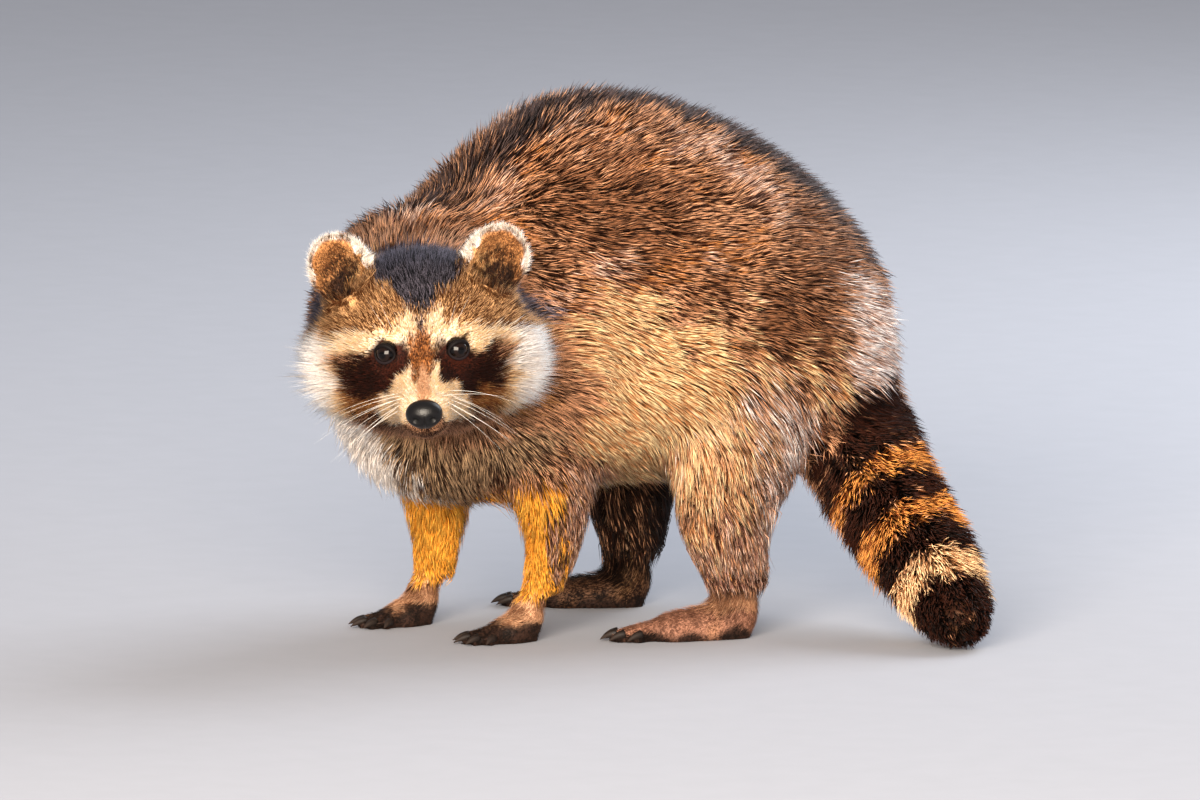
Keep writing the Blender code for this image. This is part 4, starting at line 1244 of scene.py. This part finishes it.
WORK = {}                       # what the skin's operator leaves for the coat's

FLOOR_HALF = 15.0               # half the side of the floor
SENSOR = 36.0                   # width of the camera's sensor (mm)
TARGET = (0.1168, 0.0323, 0.10)     # the camera looks this far right of, under and past the eyes
FILL_COLOUR = (0.94, 0.95, 1.0, 1.0)
LIT_POINT = (0.0, 0.0, 0.15)    # the lights face the animal's middle

# Lights: side, share of the key's power, colour, place to the camera's right, towards it, and up.
LIGHTS = {
    "key": (3.0, 1.0, (1.0, 0.87, 0.72), (-0.60, 4.6, 0.40)),
    "back": (2.0, 0.10, (0.90, 0.95, 1.0), (1.6, -1.5, 2.0)),
}


class RaccoonSkin(bpy.types.Operator):
    """Fuse the flesh into one skin under the coat, with the markings on it."""
    bl_idname = "raccoon.skin"
    bl_label = "Skin"

    def execute(self, context):
        piece = fused_flesh(FLESH)
        skin = Skin(piece)
        skin.even_ankles()
        coat = Coat(skin, list(FLESH))
        part_toes(skin, coat)
        marks = markings(coat, skin)
        piece.data.vertices.foreach_set("co", skin.points.astype(np.float32).ravel())
        piece.data.update()
        for mark, values in marks.items():
            set_attribute(piece, mark, values)
        piece.data.shade_smooth()
        material = fur_material("underfur on hide with painted shade", context.scene.raccoon_colours, underfur=True)
        dress(piece, material, "coat", *(node for node in FLESH if kind_of(node) not in ("eye", "nose")))
        WORK.update(skin=skin, coat=coat, marks=marks, tree=point_tree(skin.points))
        return {"FINISHED"}


class RaccoonTufts(bpy.types.Operator):
    """Grow the tufts of the coat over the skin, piece by piece."""
    bl_idname = "raccoon.coat"
    bl_label = "Coat"

    def execute(self, context):
        if not WORK:
            raise RuntimeError("make the skin first")
        coat, shape = WORK["coat"], context.scene.raccoon_coat
        material = fur_material("guard hair", context.scene.raccoon_colours)
        coat.length = coat.length * shape.hair_length
        coat.width = coat.width * shape.hair_width
        coat.density = coat.density * shape.fullness
        for name, (nodes, style) in COAT_PIECES.items():
            piece = coat_piece(name, WORK["skin"], coat, WORK["marks"], WORK["tree"], nodes, **style)
            dress(piece, material, "coat")
        return {"FINISHED"}


class RaccoonEyes(bpy.types.Operator):
    """Make each eyeball and the rim of its lids."""
    bl_idname = "raccoon.eyes"
    bl_label = "Eyes"

    def execute(self, context):
        head, face = Head(), context.scene.raccoon_face
        # A wet ball, near black, with one sharp glint and a trace of brown iris.
        cornea = wet_material("wet cornea over a dark iris", "#020101", "#140a06", "iris",
                              size=1.5, rough=0.05, bump=0, shine=0.22, dull=0.06)
        # Thin hairless skin that lines the opening: dark and matt.
        rim = wet_material("bare eyelid", "#0a0606", "#1a1416", "lower",
                           size=0.5, rough=0.6, bump=0.4, shine=0.10)
        for name, side in (("left", 1), ("right", -1)):
            node = f"eye_{name}"
            centre, axes = middle(node), eye_axes(head, side)
            radius = np.linalg.norm(node_points(node) - centre, axis=1).max()
            points, faces = eyeball(centre, axes, radius)
            piece = mesh_piece(f"eyeball_{name}", points, faces)
            polar = np.arccos(np.clip(unit(points - centre) @ axes[0], -1, 1))
            set_attribute(piece, "iris", band(polar, 0.30, 0.62, 0.10))
            dress(piece, cornea, "eye", node)
            points, faces = eyelid(centre, axes, radius + 0.15 * MM,
                                   (face.lid_half_width, face.lid_half_height), face.lid_thickness)
            piece = mesh_piece(f"eyelid_{name}", points, faces)
            low = step(-(points - centre) @ axes[2], 1.5 * MM, 4.0 * MM)
            set_attribute(piece, "lower", low * step((points - centre) @ axes[0], 4.5 * MM, 6.0 * MM))
            dress(piece, rim, "nose")
        return {"FINISHED"}


class RaccoonNose(bpy.types.Operator):
    """Make the bare nose pad with its nostrils."""
    bl_idname = "raccoon.nose"
    bl_label = "Nose"

    def execute(self, context):
        points, faces, shade = nose_pad(Head())
        piece = mesh_piece("nose_pad", points, faces)
        set_attribute(piece, "hollow", shade)
        # Pebbled black skin, moist enough for a soft sheen on its upper side; its nostrils darkened as
        # painted shade.
        leather = wet_material("moist nose leather", "#0a0808", "#010101", "hollow",
                               size=0.9, rough=0.33, bump=0.30, shine=0.27)
        dress(piece, leather, "nose", "nose")
        return {"FINISHED"}


class RaccoonClaws(bpy.types.Operator):
    """Make the twenty claws as one joined piece."""
    bl_idname = "raccoon.claws"
    bl_label = "Claws"

    def execute(self, context):
        nodes = [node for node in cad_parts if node.startswith("claw_")]
        made = [claw(node, "_".join(node.split("_")[1:3])) for node in nodes]
        points, faces = joined([(points, faces) for points, faces, _ in made])
        piece = mesh_piece("claws", points, faces)
        set_attribute(piece, "place", np.concatenate([place for *_, place in made]))
        # Smooth keratin, near black at the root and browner at the worn tip.
        horn = wet_material("claw horn", "#0f0a08", "#261a13", "place",
                            size=0.8, rough=0.48, bump=0.15, shine=0.25)
        dress(piece, horn, "claw", *nodes)
        return {"FINISHED"}


class RaccoonWhiskers(bpy.types.Operator):
    """Make the whiskers as one joined piece."""
    bl_idname = "raccoon.whiskers"
    bl_label = "Whiskers"

    def execute(self, context):
        face = context.scene.raccoon_face
        points, faces = whiskers(Head(), face.whisker_length, face.whisker_radius, face.whisker_count)
        piece = mesh_piece("whiskers", points, faces)
        set_attribute(piece, "place", np.zeros(len(points)))
        # Stiff pale bristle, glossier than the coat.
        bristle = wet_material("whisker hair", "#f8f4ec", "#cfc6b8", "place", size=2.0, rough=0.35, bump=0)
        dress(piece, bristle, "coat")
        return {"FINISHED"}


class RaccoonStudio(bpy.types.Operator):
    """Lay the floor, hang the lights and place the camera."""
    bl_idname = "raccoon.stage"
    bl_label = "Stage"

    def execute(self, context):
        stage, head = context.scene.raccoon_stage, Head()
        corners = [(x, y, 0.0) for x, y in ((-1, -1), (1, -1), (1, 1), (-1, 1))]
        floor = mesh_piece("floor", np.array(corners) * FLOOR_HALF, np.array([(0, 1, 2, 3)]))
        floor.data.materials.append(paper_material(stage.floor_colour))
        a, e = stage.azimuth, stage.elevation
        right = np.array([math.cos(a), math.sin(a), 0.0])
        back = np.array([math.sin(a) * math.cos(e), -math.cos(a) * math.cos(e), math.sin(e)])
        up = np.cross(back, right)
        target = head.origin + right * TARGET[0] - up * TARGET[1] - back * TARGET[2]
        data = bpy.data.cameras.new("camera")
        data.lens, data.sensor_width = SENSOR * stage.distance / stage.width, SENSOR
        data.clip_start, data.clip_end = 0.1, 4.0 * stage.distance
        camera = bpy.data.objects.new("camera", data)
        context.scene.collection.objects.link(camera)
        camera.matrix_world = Matrix.Translation(target + back * stage.distance) @ Matrix(
            (right, up, back)).transposed().to_4x4()
        context.scene.camera = camera
        for name, (size, share, colour, place) in LIGHTS.items():
            place = right * place[0] + back * place[1] + np.array([0.0, 0.0, place[2]])
            self.light(context, name, size, stage.key_power * share, colour, place)
        world = bpy.data.worlds.new("studio")
        world.use_nodes = True
        fill = world.node_tree.nodes["Background"]
        fill.inputs["Color"].default_value = FILL_COLOUR
        fill.inputs["Strength"].default_value = stage.fill_strength
        context.scene.world = world
        context.scene.view_settings.view_transform = "Standard"
        return {"FINISHED"}

    def light(self, context, name, size, power, colour, place):
        """A square soft light at a place, turned to the animal's middle."""
        data = bpy.data.lights.new(name, "AREA")
        data.size, data.energy, data.color = size, power, colour
        lamp = bpy.data.objects.new(name, data)
        context.scene.collection.objects.link(lamp)
        lamp.location = place
        lamp.rotation_euler = Vector(LIT_POINT - place).to_track_quat("-Z", "Y").to_euler()


OPERATORS = (RaccoonSkin, RaccoonTufts, RaccoonEyes, RaccoonNose, RaccoonClaws, RaccoonWhiskers,
             RaccoonStudio)
GROUPS = {"raccoon_colours": RaccoonColours, "raccoon_coat": RaccoonCoat, "raccoon_face": RaccoonFace,
          "raccoon_stage": RaccoonStage}


class RaccoonPanel(bpy.types.Panel):
    """Lists the operators and the settings."""
    bl_idname = "VIEW3D_PT_raccoon"
    bl_label = "Raccoon"
    bl_space_type = "VIEW_3D"
    bl_region_type = "UI"
    bl_category = "Raccoon"

    def draw(self, context):
        for operator in OPERATORS:
            self.layout.operator(operator.bl_idname)
        for group in GROUPS:
            settings = getattr(context.scene, group)
            column = self.layout.column()
            for name in settings.__annotations__:
                column.prop(settings, name)


def register():
    """Register the classes and hang the settings on the scene."""
    for group in (*GROUPS.values(), *OPERATORS, RaccoonPanel):
        bpy.utils.register_class(group)
    for name, group in GROUPS.items():
        setattr(bpy.types.Scene, name, bpy.props.PointerProperty(type=group))


def unregister():
    """Take the settings off the scene and the classes away."""
    for name in GROUPS:
        delattr(bpy.types.Scene, name)
    for group in (RaccoonPanel, *reversed(OPERATORS), *reversed(tuple(GROUPS.values()))):
        bpy.utils.unregister_class(group)


def main():
    """Build every piece in order and write the two boxes."""
    register()
    for operator in OPERATORS:
        getattr(bpy.ops.raccoon, operator.bl_idname.split(".")[1])()


if __name__ == "__main__":
    main()
